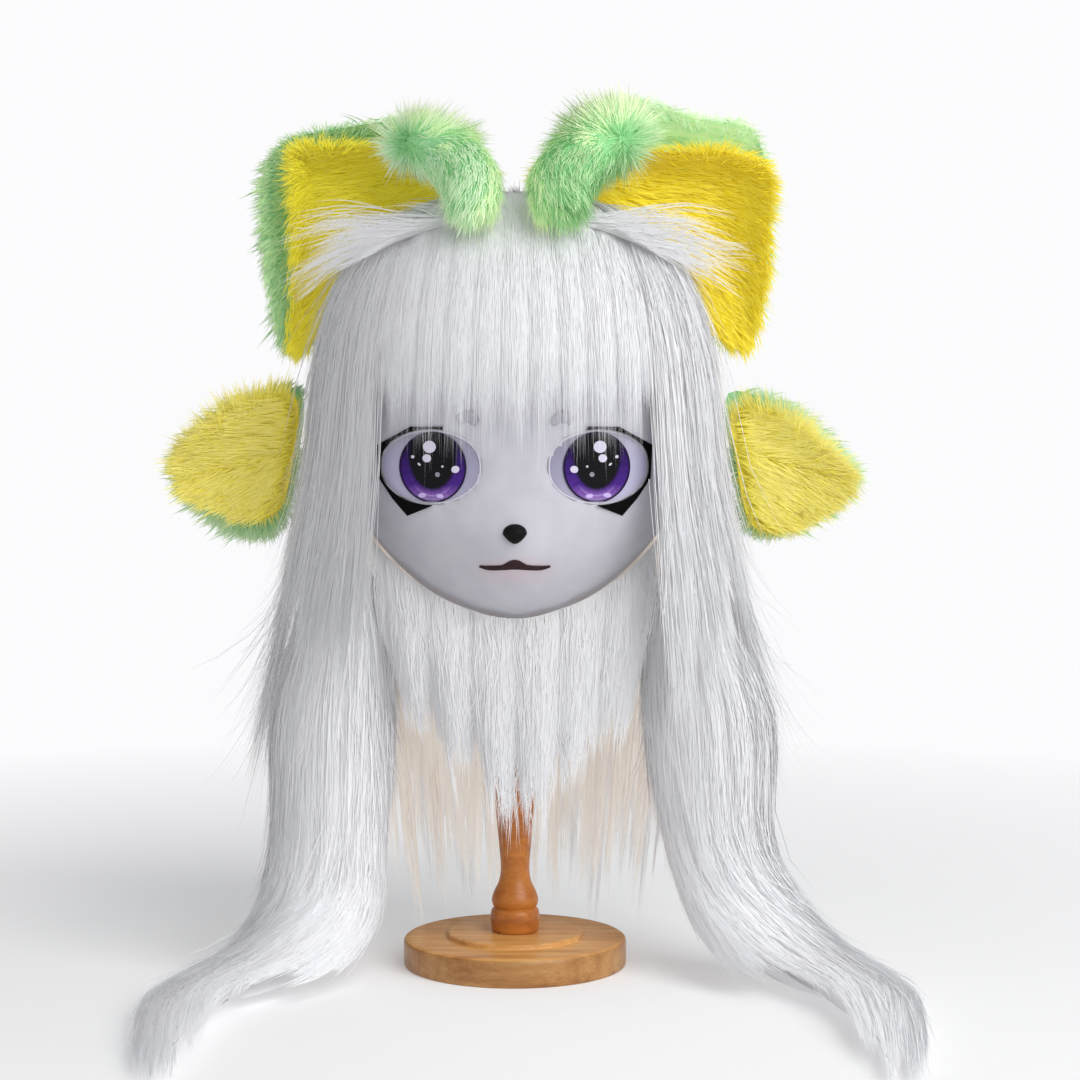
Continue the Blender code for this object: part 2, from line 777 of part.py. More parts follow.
def chest_ruff(collection, material):
    def place(u, v):
        across = 2 * u - 1
        x = RUFF_HALF_WIDTH * across
        y = -0.080 + 0.028 * across**2
        ridge = math.sin(math.pi * ((u * RUFF_LOCKS) % 1.0))
        hem = RUFF_TIP_Z + RUFF_RISE * abs(across - 0.06) + RUFF_JAG * (1 - ridge)
        jaw = min(height_share(x, y + 0.02, 0.0, JAW_EXPONENT), 1.0)
        top = WIDEST_Z - (WIDEST_Z - CHIN_Z) * jaw - 0.003
        y -= 0.006 * ridge + 0.010 * math.sin(math.pi * v)
        return Vector((x * between(1.0, 0.92, v), y, between(top, hem, v)))

    def share(u, v):
        return between(1.0, 0.4, v)

    obj = mapped_grid("chest_ruff", place, RUFF_LOCKS * 2, 6, behind=(0, 0.3, 0.2), share=share)
    thicken(obj, RUFF_WALL)
    finish(obj, collection, material)


def upper_ears(collection, materials):
    for suffix, outline, fold in (("l", EAR_LEFT, FOLD_LEFT), ("r", EAR_RIGHT, FOLD_RIGHT)):
        side = -1 if suffix == "l" else 1
        middle_x, middle_z = side * EAR_MIDDLE_X, EAR_MIDDLE_Z

        def back_front(x, z, share):
            return EAR_Y + EAR_CUP * (1 - share**2)

        def inner_front(x, z, share):
            cup = EAR_CUP * (1 - (EAR_INNER_SHARE * share) ** 2)
            return EAR_Y + cup - EAR_INNER_WALL - PAD_SLACK

        inner = [
            (between(middle_x, x, EAR_INNER_SHARE), between(middle_z, z, EAR_INNER_SHARE))
            for x, z in outline
        ]
        pad(f"ear_back_{suffix}", outline, back_front, EAR_BACK_WALL, 24, 3, collection,
            materials["green_fur"], centre=(middle_x, middle_z))
        pad(f"ear_inner_{suffix}", inner, inner_front, EAR_INNER_WALL, 24, 3, collection,
            materials["yellow_fur"], centre=(middle_x, middle_z))

        curve = bpy.data.curves.new(f"ear_fold_{suffix}", "CURVE")
        curve.dimensions = "3D"
        curve.bevel_depth = 1.0
        curve.bevel_resolution = 2
        curve.resolution_u = 3
        curve.use_fill_caps = True
        spline = curve.splines.new("BEZIER")
        spline.bezier_points.add(len(fold) - 1)
        for point, (x, y, z, radius) in zip(spline.bezier_points, fold):
            point.co = (x, y, z)
            point.radius = radius
            point.handle_left_type = "AUTO"
            point.handle_right_type = "AUTO"
        finish(bpy.data.objects.new(f"ear_fold_{suffix}", curve), collection,
               materials["green_fur"])

        def tuft_place(u, v):
            ridge = math.sin(math.pi * ((u * TUFT_LOCKS) % 1.0))
            reach = v * (1 - TUFT_JAG * (1 - ridge))
            root_x = between(TUFT_ROOT[0][0], TUFT_ROOT[1][0], u)
            root_z = between(TUFT_ROOT[0][1], TUFT_ROOT[1][1], u)
            x = between(root_x, between(TUFT_TIP[0][0], TUFT_TIP[1][0], u), reach)
            z = between(root_z, between(TUFT_TIP[0][1], TUFT_TIP[1][1], u), reach)
            z += 0.012 * math.sin(math.pi * reach)
            root_y = face_y(root_x, root_z, TUFT_LIFT) - TUFT_WALL
            y = between(root_y, TUFT_Y, reach) - 0.003 * ridge
            return Vector((-side * x, y, z))

        def tuft_back(u, v):
            return Vector((0.0, TUFT_WALL * between(1.0, 0.5, v), 0.0))

        tuft = mapped_grid(f"ear_tuft_{suffix}", tuft_place, TUFT_LOCKS * 2, 4,
                           behind=(side * 0.12, 1.0, 0.55), back=tuft_back)
        deepen(tuft)
        finish(tuft, collection, materials["white_fur"])


def side_ears(collection, materials):
    for suffix, outline in (("l", SIDE_EAR_LEFT), ("r", SIDE_EAR_RIGHT)):
        middle_x, middle_z = outline_centre(outline)

        def back_front(x, z, share):
            return SIDE_EAR_Y + SIDE_EAR_CUP * (1 - share**2)

        def front_front(x, z, share):
            cup = SIDE_EAR_CUP * (1 - (SIDE_EAR_FRONT_SHARE * share) ** 2)
            return SIDE_EAR_Y + cup - SIDE_EAR_FRONT_WALL - PAD_SLACK

        front = [
            (between(middle_x, x, SIDE_EAR_FRONT_SHARE), between(middle_z, z, SIDE_EAR_FRONT_SHARE))
            for x, z in outline
        ]
        pad(f"side_ear_back_{suffix}", outline, back_front, SIDE_EAR_BACK_WALL, 16, 2,
            collection, materials["green_fur"])
        pad(f"side_ear_front_{suffix}", front, front_front, SIDE_EAR_FRONT_WALL, 16, 2,
            collection, materials["yellow_fur"])


def main():
    clear_scene()
    collection = make_collection("fursuit_head")
    cutters = make_collection("cutters")
    cutters.hide_render = True
    materials = {name: make_material(name) for name in MATERIALS}
    stand(collection, materials["wood"])
    head(collection, cutters, materials["white_pile"])
    eyes(collection, materials)
    nose_and_mouth(collection, materials)
    head_fur(collection, materials["white_fur"])
    tail("tail_l", TAIL_LEFT, collection, materials["white_fur"])
    tail("tail_r", TAIL_RIGHT, collection, materials["white_fur"])
    chest_ruff(collection, materials["white_fur"])
    upper_ears(collection, materials)
    side_ears(collection, materials)
    for cutter in cutters.objects:
        cutter.display_type = "WIRE"
        cutter.hide_render = True


main()
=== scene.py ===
"""Looks of the fursuit head on its stand: fur, face, eyes and wood, built over the frame.

Metres, Z up, the face looks along -Y. Azimuth is 0 at the face and grows towards +X.
The form of each piece repeats the frame's own, from the same driving sizes.
"""

import math

import bpy
import numpy as np
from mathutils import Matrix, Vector


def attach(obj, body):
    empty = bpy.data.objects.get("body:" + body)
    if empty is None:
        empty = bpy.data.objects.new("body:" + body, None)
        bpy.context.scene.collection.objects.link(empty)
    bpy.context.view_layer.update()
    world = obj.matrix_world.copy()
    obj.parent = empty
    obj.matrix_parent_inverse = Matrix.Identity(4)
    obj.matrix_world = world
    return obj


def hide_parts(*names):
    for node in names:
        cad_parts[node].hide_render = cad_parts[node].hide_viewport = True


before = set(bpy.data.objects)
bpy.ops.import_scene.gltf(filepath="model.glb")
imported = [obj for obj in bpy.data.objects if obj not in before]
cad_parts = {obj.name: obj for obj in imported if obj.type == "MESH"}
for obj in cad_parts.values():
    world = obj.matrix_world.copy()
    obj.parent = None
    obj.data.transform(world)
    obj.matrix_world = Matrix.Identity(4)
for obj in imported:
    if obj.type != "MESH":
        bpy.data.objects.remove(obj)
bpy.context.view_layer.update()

BODY = "root"
UP = np.array((0.0, 0.0, 1.0))
ROUND = (0.0, 2 * math.pi)
SIDES = ((-1, "l"), (1, "r"))

# Head form, as in the frame.
HEAD_HALF_WIDTH = 0.138
HEAD_FRONT = 0.128
HEAD_BACK = 0.125
WIDEST_Z = 0.410
HEAD_TOP_Z = 0.595
CHIN_Z = 0.2715
HEAD_WALL = 0.012
PLAN_EXPONENT = 2.3
TOP_EXPONENT = 2.5
JAW_EXPONENT = 1.7
JAW_FORWARD = 0.020
MUZZLE_DEPTH = 0.010
MUZZLE_HALF_WIDTH = 0.036
MUZZLE_HALF_HEIGHT = 0.028
MUZZLE_Z = 0.336
NECK_RISE_FRONT = math.radians(-75)
NECK_RISE_SIDE = math.radians(-42)
NECK_FRONT_COS = 0.60
MASK_BACK_Y = -0.045
MASK_TOP_Z = 0.515

# Long fur over the head, as in the frame.
CROWN_HALF_LINE = 0.070
CROWN_SLACK = 0.0012
HEAD_RUN = 0.240
FRONT_LIFT = 0.0115
SIDE_LIFT = 0.0175
SIDE_FROM = 36
SIDE_FULL = 72
LOCK_RIDGE = 0.003
BANGS_EDGE = 39
LOCKS_EDGE = 108

GAP = 0.0004
# The least height of backing, and of strands, over the floor or the head.
SHEET_FLOOR = 0.0008
STRAND_FLOOR = 0.0012

# Stand. Rounded edges are rows of how far in and how far down they go.
BASE_RADIUS = 0.0875
BASE_HEIGHT = 0.022
BASE_MIDDLE = (0, 0, 0.012)
STEP_RADIUS = 0.0533
STEP_Z = BASE_HEIGHT + 0.004
STEP_EDGE = ((0.0028, 0), (0.0012, 0.0002), (0.0002, 0.0009), (0, 0.0018))
STEP_FOOT = ((0, -0.0006), (-0.0004, -0.0001), (-0.0010, 0))
DISC_EDGE = ((0.0045, 0), (0.0025, 0.0002), (0.0009, 0.0012), (0.0001, 0.0025), (0, 0.0040))
DISC_FOOT = ((0, -0.0025), (0.0003, -0.0010), (0.0013, 0))
FOOT_Z = STEP_Z + GAP
COLUMN_TOP_Z = 0.527
# radius, z
WAIST = ((0.0175, 0.200), (0.0163, 0.140), (0.0131, 0.100), (0.0113, 0.0775), (0.0127, 0.066),
         (0.0165, 0.0575), (0.0183, 0.052), (0.0178, 0.0478), (0.0163, 0.0450))
RING = ((0.0163, 0.0450), (0.0186, 0.0425), (0.0195, 0.0362), (0.0188, 0.0295), (0.0180, FOOT_Z))

# Face features, for the side at +X; the other side is mirrored.
EYE_X = 0.0617
EYE_Z = 0.395
EYE_HALF_WIDTH = 0.0374
EYE_HALF_HEIGHT = 0.0275
EYE_RECESS = 0.0018
EYE_SAG = 0.06
EYE_ROUNDING = 0.85
IRIS_X = 0.0604
IRIS_HALF_WIDTH = 0.0250
IRIS_HALF_HEIGHT = 0.0262
SOCKET_DEPTH = 0.0036
LID_COVER = 0.0022
LASH_WALL = 0.0016
BROW_WALL = 0.0007
NOSE_Z = 0.3467
NOSE_WIDTH = 0.0178
NOSE_HEIGHT = 0.0147
NOSE_DEPTH = 0.007
MOUTH_Z = 0.3222
MOUTH_WALL = 0.0011
# The lash's outer edge: the eye's angle that each corner is drawn from, x outwards, z.
LASH_SLACK = 0.0004
LASH = ((104, 0.0530, 0.4250), (66, 0.0769, 0.4247), (25, 0.1022, 0.4110), (-15, 0.1012, 0.3861),
        (-48, 0.0909, 0.3709), (-70, 0.0798, 0.3583), (-92, 0.0615, 0.3662))
# x outwards, z, half width; the mouth's other half is mirrored
BROW = ((0.0270, 0.4275, 0.0030), (0.0345, 0.4325, 0.0048), (0.0420, 0.4290, 0.0036))
MOUTH_MIDDLE = (0.0, MOUTH_Z + 0.0014, 0.0038)
MOUTH_HALF = ((0.0090, MOUTH_Z - 0.0008, 0.0021), (0.0190, MOUTH_Z - 0.0014, 0.0018),
              (0.0262, MOUTH_Z - 0.0004, 0.0008))
# Printed lights in the iris at -X, from its middle: x, z, radii across and up, tilt, slot.
IRIS_LIGHTS = (
    (-0.0022, 0.0150, 0.0048, 0.0045, 0.0, 1),
    (-0.0042, 0.0066, 0.0032, 0.0030, 0.0, 1),
    (-0.0147, 0.0076, 0.0013, 0.0012, 0.0, 1),
    (-0.0099, 0.0021, 0.0014, 0.0008, -0.7, 1),
    (0.0073, 0.0006, 0.0009, 0.0008, 0.0, 1),
    (0.0169, -0.0014, 0.0030, 0.0026, 0.3, 1),
    (0.0037, -0.0053, 0.0018, 0.0018, 0.0, 2),
    (-0.0078, -0.0208, 0.0030, 0.0018, 0.1, 3),
    (0.0055, -0.0212, 0.0028, 0.0016, -0.1, 3),
)

# Falls of long fur, as stations of their outer face: y, z, wall, then x outwards and half
# width of the left and of the right fall.
TAILS = (
    (-0.047, 0.337, 0.007, 0.139, 0.014, 0.139, 0.014),
    (-0.050, 0.280, 0.018, 0.133, 0.033, 0.135, 0.033),
    (-0.053, 0.200, 0.032, 0.140, 0.047, 0.150, 0.050),
    (-0.056, 0.110, 0.034, 0.143, 0.044, 0.156, 0.041),
    (-0.064, 0.055, 0.026, 0.153, 0.048, 0.182, 0.048),
    (-0.098, 0.025, 0.018, 0.184, 0.054, 0.216, 0.056),
    (-0.160, 0.017, 0.012, 0.216, 0.052, 0.240, 0.052),
    (-0.260, 0.012, 0.008, 0.217, 0.044, 0.238, 0.044),
    (-0.355, 0.007, 0.004, 0.209, 0.038, 0.231, 0.036),
)
TAIL_LOCKS = 5
TAIL_RIDGE = 0.003
TAIL_JAG = 0.07
TAIL_INNER_END = 0.66
TAIL_SLACK = 0.015

RUFF_HALF_WIDTH = 0.094
RUFF_TIP_Z = 0.128
RUFF_RISE = 0.0875
RUFF_LOCKS = 6
RUFF_JAG = 0.022
RUFF_FLARE = 0.008

# Upper ears, as closed outlines seen from the front: x outwards, z.
EAR_UNDERSIDE = ((0.168, 0.510), (0.152, 0.552), (0.122, 0.582), (0.084, 0.600), (0.045, 0.6098))
EAR_LEFT = ((0.012, 0.613), (0.034, 0.637), (0.060, 0.652), (0.091, 0.660), (0.135, 0.655),
            (0.177, 0.645), (0.196, 0.619), (0.1985, 0.583), (0.192, 0.530), (0.179, 0.480),
            *EAR_UNDERSIDE)
EAR_RIGHT = ((0.012, 0.613), (0.032, 0.640), (0.062, 0.667), (0.090, 0.676), (0.140, 0.663),
             (0.183, 0.655), (0.198, 0.620), (0.199, 0.575), (0.194, 0.530), (0.181, 0.484),
             *EAR_UNDERSIDE)
EAR_MIDDLE_X = 0.150
EAR_MIDDLE_Z = 0.622
EAR_Y = 0.004
EAR_CUP = 0.030
EAR_BACK_WALL = 0.014
EAR_INNER_WALL = 0.008
PAD_SLACK = 0.0045
# How far the upper ears' lower sides go outwards and up: inwards and down, where the hair
# covers them. The span is the distances from the middle between which they do.
EAR_TUCK = (-0.020, -0.014)
EAR_TUCK_SPAN = (0.07, 0.175)
# How far outwards and up the yellow of the left and right ear shows.
YELLOW_LIMIT = ((0.1710, 0.6390), (0.1970, 0.6350))

# Rolled inner rims of the upper ears: x outwards, y, z, radius.
FOLD_LEFT = ((0.0325, -0.102, 0.5840, 0.023), (0.0315, -0.0905, 0.6040, 0.027),
             (0.0460, -0.064, 0.6240, 0.026), (0.0680, -0.038, 0.6375, 0.024),
             (0.0900, -0.017, 0.6385, 0.015))
FOLD_RIGHT = ((0.0345, -0.104, 0.5840, 0.025), (0.0345, -0.090, 0.6055, 0.029),
              (0.0510, -0.066, 0.6255, 0.028), (0.0715, -0.041, 0.6420, 0.027),
              (0.0930, -0.018, 0.6480, 0.017))
# Where the rolls' fur parts, beside the middle and up.
WHORL = (0.0800, 0.6390)

# White tufts in the upper ears: roots and tips of the first and last lock, x outwards, z.
TUFT_ROOT = np.array(((0.068, 0.580), (0.102, 0.556)))
TUFT_TIP = np.array(((0.160, 0.581), (0.168, 0.528)))
TUFT_WALL = 0.005
TUFT_Y = -0.012
TUFT_LIFT = 0.022
TUFT_SUNK = 0.008

# Side ears, as closed outlines seen from the front: x outwards, z.
SIDE_EAR_LEFT = ((0.165, 0.452), (0.210, 0.448), (0.240, 0.428), (0.266, 0.403), (0.270, 0.388),
                 (0.258, 0.366), (0.236, 0.348), (0.208, 0.336), (0.180, 0.345), (0.168, 0.395))
SIDE_EAR_RIGHT = ((0.165, 0.452), (0.212, 0.440), (0.238, 0.420), (0.262, 0.397), (0.270, 0.382),
                  (0.257, 0.362), (0.236, 0.348), (0.208, 0.335), (0.180, 0.343), (0.168, 0.395))
SIDE_EAR_Y = 0.010
SIDE_EAR_CUP = 0.012
SIDE_EAR_BACK_WALL = 0.009
SIDE_EAR_FRONT_WALL = 0.010
SIDE_EAR_FRONT_SHARE = 0.92
# How wide the green shows beside the yellow: under it at the left, over it at the right.
SIDE_EAR_GREEN = 0.009
SIDE_EAR_LOW_Z = 0.350
SIDE_EAR_HIGH_Z = 0.396

CAMERA_PLACE = (0.0, -2.0, 0.456)
CAMERA_PITCH = math.radians(3.48)
CAMERA_TURN = math.radians(0.563)
CAMERA_LENS = 85.5
KEY_PLACE = (1.7, -2.2, 2.2)
KEY_TARGET = (0, 0, 0.30)
KEY_SIZE = 3.0
KEY_POWER = 82
BACKDROP = (0.97, 0.97, 0.985)
STUDIO_LEVEL = 0.32
STUDIO_SLOPE = (0.20, -0.14, 0.22)


# Shape building


class Shape:
    """Points and faces of one piece, gathered from arrays."""

    def __init__(self):
        self.parts, self.count = [], 0

    def add(self, points, loops, totals, uvs, slot=0, normals=None):
        """Adds faces: loops are point numbers, totals the corners of each face.

        Points with no normal of their own take that of their faces.
        """
        points = points.reshape(-1, 3)
        normals = np.zeros_like(points) if normals is None else normals.reshape(-1, 3)
        self.parts.append((points, normals, loops.reshape(-1) + self.count, totals,
                           uvs.reshape(-1, 2), np.full(len(totals), slot)))
        self.count += len(points)

    def make(self, name, materials):
        points, normals, loops, totals, uvs, slots = (
            np.concatenate(rows) for rows in zip(*self.parts))
        mesh = bpy.data.meshes.new(name)
        mesh.vertices.add(len(points))
        mesh.vertices.foreach_set("co", points.astype(np.float32).ravel())
        mesh.loops.add(len(loops))
        mesh.loops.foreach_set("vertex_index", loops.astype(np.int32))
        mesh.polygons.add(len(totals))
        starts = np.concatenate(([0], np.cumsum(totals)[:-1]))
        mesh.polygons.foreach_set("loop_start", starts.astype(np.int32))
        mesh.polygons.foreach_set("material_index", slots.astype(np.int32))
        mesh.polygons.foreach_set("use_smooth", np.ones(len(totals), bool))
        layer = mesh.uv_layers.new(name="strand")
        layer.data.foreach_set("uv", uvs.astype(np.float32).ravel())
        mesh.update(calc_edges=True)
        if np.any(normals):
            mesh.normals_split_custom_set_from_vertices(normals.astype(np.float32))
        for material in materials:
            mesh.materials.append(material)
        obj = bpy.data.objects.new(name, mesh)
        bpy.context.scene.collection.objects.link(obj)
        return obj


def settle(shape, name, materials, node=None):
    """Makes a piece, hangs it on the body and hides the frame's node that it stands for.

    A piece is named for its node with one word more, or else the node is given.
    """
    obj = shape.make(name, materials)
    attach(obj, BODY)
    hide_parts(node or name.rpartition("_")[0])


def unit(vectors):
    length = np.linalg.norm(vectors, axis=-1, keepdims=True)
    return vectors / np.maximum(length, 1e-9)


def smooth(t):
    t = np.clip(t, 0.0, 1.0)
    return t * t * (3 - 2 * t)


def mix(a, b, share):
    return a + (b - a) * share


def circle(steps):
    return np.linspace(*ROUND, steps, endpoint=False)


def mirrored(rows, side):
    """Rows that begin with x outwards, for one side."""
    return [(side * row[0], *row[1:]) for row in rows]


def curve_rows(table, t, closed=False):
    """Rows of a table at t from 0 to 1, along a smooth curve through all of them."""
    rows = np.asarray(table, float)
    count = len(rows)
    place = (np.asarray(t, float) % 1.0) * count if closed else np.clip(t, 0, 1) * (count - 1)
    index = np.floor(place).astype(int)
    if not closed:
        index = np.minimum(index, count - 2)
    w = (place - index)[..., None]
    keys = [index + k for k in (-1, 0, 1, 2)]
    a, b, c, d = (rows[k % count if closed else np.clip(k, 0, count - 1)] for k in keys)
    return 0.5 * (2 * b + (c - a) * w + (2 * a - 5 * b + 4 * c - d) * w**2
                  + (3 * b - a - 3 * c + d) * w**3)


def grid_quads(columns, rows, closed=False):
    """The point numbers of a grid's faces, joined round if closed."""
    index = np.arange(columns * rows).reshape(columns, rows)
    right = np.roll(index, -1, axis=0)
    if not closed:
        index, right = index[:-1], right[:-1]
    quads = np.stack((index[:, :-1], index[:, 1:], right[:, 1:], right[:, :-1]), axis=-1)
    return quads.reshape(-1, 4)


def add_grid(shape, points, behind=None, closed=False, slot=0, u=0.5, v=0.0):
    """Adds a grid of points (columns, rows, 3) whose faces look away from the point behind."""
    quads = grid_quads(*points.shape[:2], closed)
    flat = points.reshape(-1, 3)
    if behind is not None:
        a, b, c, d = (flat[quads[:, k]] for k in range(4))
        normal = np.cross(c - a, d - b)
        if np.sum(normal * ((a + c) / 2 - behind)) < 0:
            quads = quads[:, ::-1]
    uvs = np.empty((quads.size, 2))
    for axis, place in enumerate((u, v)):
        uvs[:, axis] = np.broadcast_to(place, points.shape[:2]).reshape(-1)[quads.ravel()]
    shape.add(points, quads, np.full(len(quads), 4), uvs, slot)


def add_strands(shape, lines, facing, shade, half_width, rng, tones, slot):
    """Adds flat strands that taper to their tips, from lines (strands, points, 3).

    Facing is the way that their flat sides look, shade the way that light reads them.
    """
    count, steps = lines.shape[:2]
    lines[..., 2] = np.maximum(lines[..., 2], STRAND_FLOOR)
    along = np.linspace(0, 1, steps)
    tangent = unit(np.gradient(lines, axis=1))
    side = unit(np.cross(tangent, facing))
    out = np.cross(side, tangent)
    turn = np.clip(rng.normal(0, 0.4, (count, 1, 1)), -1, 1)
    wide = half_width * (1 - 0.8 * along[:, None] ** 2)
    reach = (side * np.cos(turn) + out * np.sin(turn)) * wide
    normal = unit(out * 0.4 + shade + side * rng.normal(0, 0.05, (count, 1, 1)))
    body, reach = lines[:, :-1], reach[:, :-1]
    points = np.stack((body - reach, body + reach), axis=2).reshape(count, -1, 3)
    points = np.concatenate((points, lines[:, -1:]), axis=1)
    normals = np.concatenate((np.repeat(normal[:, :-1], 2, axis=1), normal[:, -1:]), axis=1)
    size = points.shape[1]
    quads = [p for i in range(steps - 2) for p in (2 * i, 2 * i + 1, 2 * i + 3, 2 * i + 2)]
    pattern = np.array(quads + [size - 3, size - 2, size - 1])
    loops = pattern[None] + size * np.arange(count)[:, None]
    totals = np.tile([4] * (steps - 2) + [3], count)
    uvs = np.empty((count, len(pattern), 2))
    uvs[..., 0] = tones[:, None]
    uvs[..., 1] = np.concatenate((np.repeat(along[:-1], 2), [1.0]))[pattern]
    shape.add(points, loops, totals, uvs, slot, normals)


def spread_evenly(rng, count, low=0.0, high=1.0):
    """Random values that fill a range evenly, in random order."""
    return mix(low, high, (rng.permutation(count) + rng.random(count)) / count)


class LongFur:
    """Long fur along a surface(u, v, height) of a width and length in metres."""

    def __init__(self, surface, size, seed):
        self.shape, self.rng = Shape(), np.random.default_rng(seed)
        self.surface, self.size = surface, size

    def sheet(self, across, ends, height, behind, columns, rows, ragged, slot=1, closed=False):
        """The backing under the strands, its far end cut in ragged points."""
        u = np.linspace(*across, columns, endpoint=not closed)[:, None]
        end = ends[1] + ragged * np.random.default_rng(1).uniform(-1, 0.6, (columns, 1))
        v = mix(ends[0], end, np.linspace(0, 1, rows))
        u = np.broadcast_to(u, v.shape)
        points = self.surface(u, v, height + 0 * v)
        points[..., 2] = np.maximum(points[..., 2], SHEET_FLOOR)
        add_grid(self.shape, points, behind, closed, slot, u * self.size[0], v * self.size[1])

    def strands(self, clumps, each, reach, at_hem, depth, across, ends=(0.0, 1.0), sigma=0.0036,
                gather=0.8, sway=0.005, stray=0.12, flare=0.0, fringe=0.015, steps=5,
                half_width=0.00038, lock_pull=0.0, locks=1, slot=0, tone=0.5, level=0.0):
        """Strands in clumps, reach long; at_hem is the share of clumps that end at the hem."""
        rng, (width, length) = self.rng, self.size
        centre = spread_evenly(rng, clumps, *across)
        share = rng.uniform(*reach, clumps) / length
        stop = np.where(rng.random(clumps) < at_hem, ends[1] + rng.normal(0, fringe, clumps),
                        mix(ends[0] + share * 0.45, ends[1], spread_evenly(rng, clumps)))
        start = np.maximum(stop - share, ends[0] + 0.002)
        owner = np.repeat(np.arange(clumps), each)
        count = clumps * each
        t = np.linspace(0, 1, steps)[None]
        loose = rng.random(count) < stray
        close = np.where(loose[:, None], 1 + 0.7 * t, 1 - gather * t**1.5)
        bend = rng.normal(0, sway, clumps)[owner][:, None]
        phase = rng.uniform(*ROUND, clumps)[owner][:, None]
        offset = rng.normal(0, sigma, count)[:, None]
        own = rng.normal(0, 0.35 * sway, count)[:, None] * t**2
        side = offset * close + bend * (np.sin(phase + 4 * t) - np.sin(phase)) * 0.6 + own
        v0 = start[owner] + rng.uniform(-0.010, 0.010, count) / length
        v1 = stop[owner] + rng.normal(0, 0.005, count) / length
        v1 = np.where(loose, mix(v0, v1, rng.uniform(0.7, 1.08, count)), v1)
        v = mix(np.maximum(v0, ends[0] + 0.001)[:, None], np.maximum(v1, v0 + 0.02)[:, None], t)
        u = centre[owner][:, None] + side / width
        lock_middle = (np.floor(np.clip(u, 0, 0.999) * locks) + 0.5) / locks
        pull = lock_pull * smooth((v / ends[1] - 0.4) / 0.6) * ~loose[:, None]
        u = mix(u, lock_middle, pull)
        layer = rng.uniform(-0.15, 0.15, clumps)[owner][:, None]
        uneven = rng.normal(0, 0.0004, count)[:, None] * close
        height = level + depth * (layer - np.exp(-6 * t)) + uneven
        lifted = np.where(loose, 1.0, 0.25) * np.abs(rng.normal(0, 1, count))
        height = height + flare * t**2 * lifted[:, None]
        lines = self.surface(u, v, height)
        facing = unit(self.surface(u, v, height + 0.002) - lines)
        rounding = np.clip(offset / sigma, -2, 2)[..., None] * 0.06
        side_way = unit(np.cross(unit(np.gradient(lines, axis=1)), facing))
        tones = np.clip(rng.normal(tone, 0.22, clumps)[owner] + rng.normal(0, 0.18, count), 0, 1)
        add_strands(self.shape, lines, facing, facing + side_way * rounding, half_width, rng,
                    tones, slot)

    def settle(self, node, paints=None):
        settle(self.shape, f"{node}_fur", paints or (WHITE_FUR, WHITE_BACKING))


def scatter(place, rng, count, u_range=(0, 1), v_range=(0, 1)):
    """Random u, v that lie evenly over the area of place(u, v)."""
    u = rng.uniform(*u_range, count * 6)
    v = rng.uniform(*v_range, count * 6)
    step = 1e-3
    point = place(u, v)
    area = np.linalg.norm(np.cross(place(u + step, v) - point, place(u, v + step) - point), axis=-1)
    chosen = rng.choice(len(u), count, replace=False, p=area / area.sum())
    return u[chosen], v[chosen]


def add_short_fur(shape, roots, normals, flow, rng, reach, rise=0.7, sigma=0.0025, gather=0.15,
                  mess=0.14, half_width=0.00036, slot=0):
    """Clumps of three hairs: they rise from their root, then bend over to their flow."""
    clumps = len(roots)
    owner = np.repeat(np.arange(clumps), 3)
    count = len(owner)
    t = np.linspace(0, 1, 4)[None, :, None]
    n, f = normals[owner][:, None], flow[owner][:, None]
    length = (rng.uniform(*reach, clumps)[owner] * rng.uniform(0.75, 1.1, count))[:, None, None]
    off = rng.normal(0, sigma, (count, 1, 3))
    off = off - n * np.sum(off * n, axis=-1, keepdims=True)
    way = rng.normal(0, mess, (clumps, 1, 3))[owner] + rng.normal(0, mess * 0.55, (count, 1, 3))
    path = n * rise * (t - 0.42 * t**2) + f * (0.30 * t + 0.62 * t**2) + way * t**1.4
    lines = roots[owner][:, None] + off * (1 - gather * t) + path * length
    tones = np.clip(rng.normal(0.5, 0.2, clumps)[owner] + rng.normal(0, 0.15, count), 0, 1)
    add_strands(shape, lines, unit(n - 0.5 * f), n * 1.3, half_width, rng, tones, slot)


# Head form


def level_radius(azimuth, grow):
    """Distance from the axis to the head's outline seen from above."""
    depth = np.where(np.cos(azimuth) > 0, HEAD_FRONT, HEAD_BACK) + grow
    across = np.abs(np.sin(azimuth)) / (HEAD_HALF_WIDTH + grow)
    along = np.abs(np.cos(azimuth)) / depth
    return (across**PLAN_EXPONENT + along**PLAN_EXPONENT) ** (-1 / PLAN_EXPONENT)


def height_share(x, y, grow, exponent):
    """Share of the full height that the head has at a point of its plan."""
    depth = np.where(y < 0, HEAD_FRONT, HEAD_BACK) + grow
    plan = np.maximum(0.0, 1 - (np.abs(y) / depth) ** PLAN_EXPONENT)
    rest = plan ** (exponent / PLAN_EXPONENT) - (np.abs(x) / (HEAD_HALF_WIDTH + grow)) ** exponent
    return np.maximum(0.0, rest) ** (1 / exponent)


def muzzle(x, z):
    reach = (x / MUZZLE_HALF_WIDTH) ** 2 + ((z - MUZZLE_Z) / MUZZLE_HALF_HEIGHT) ** 2
    return MUZZLE_DEPTH * np.exp(-reach)


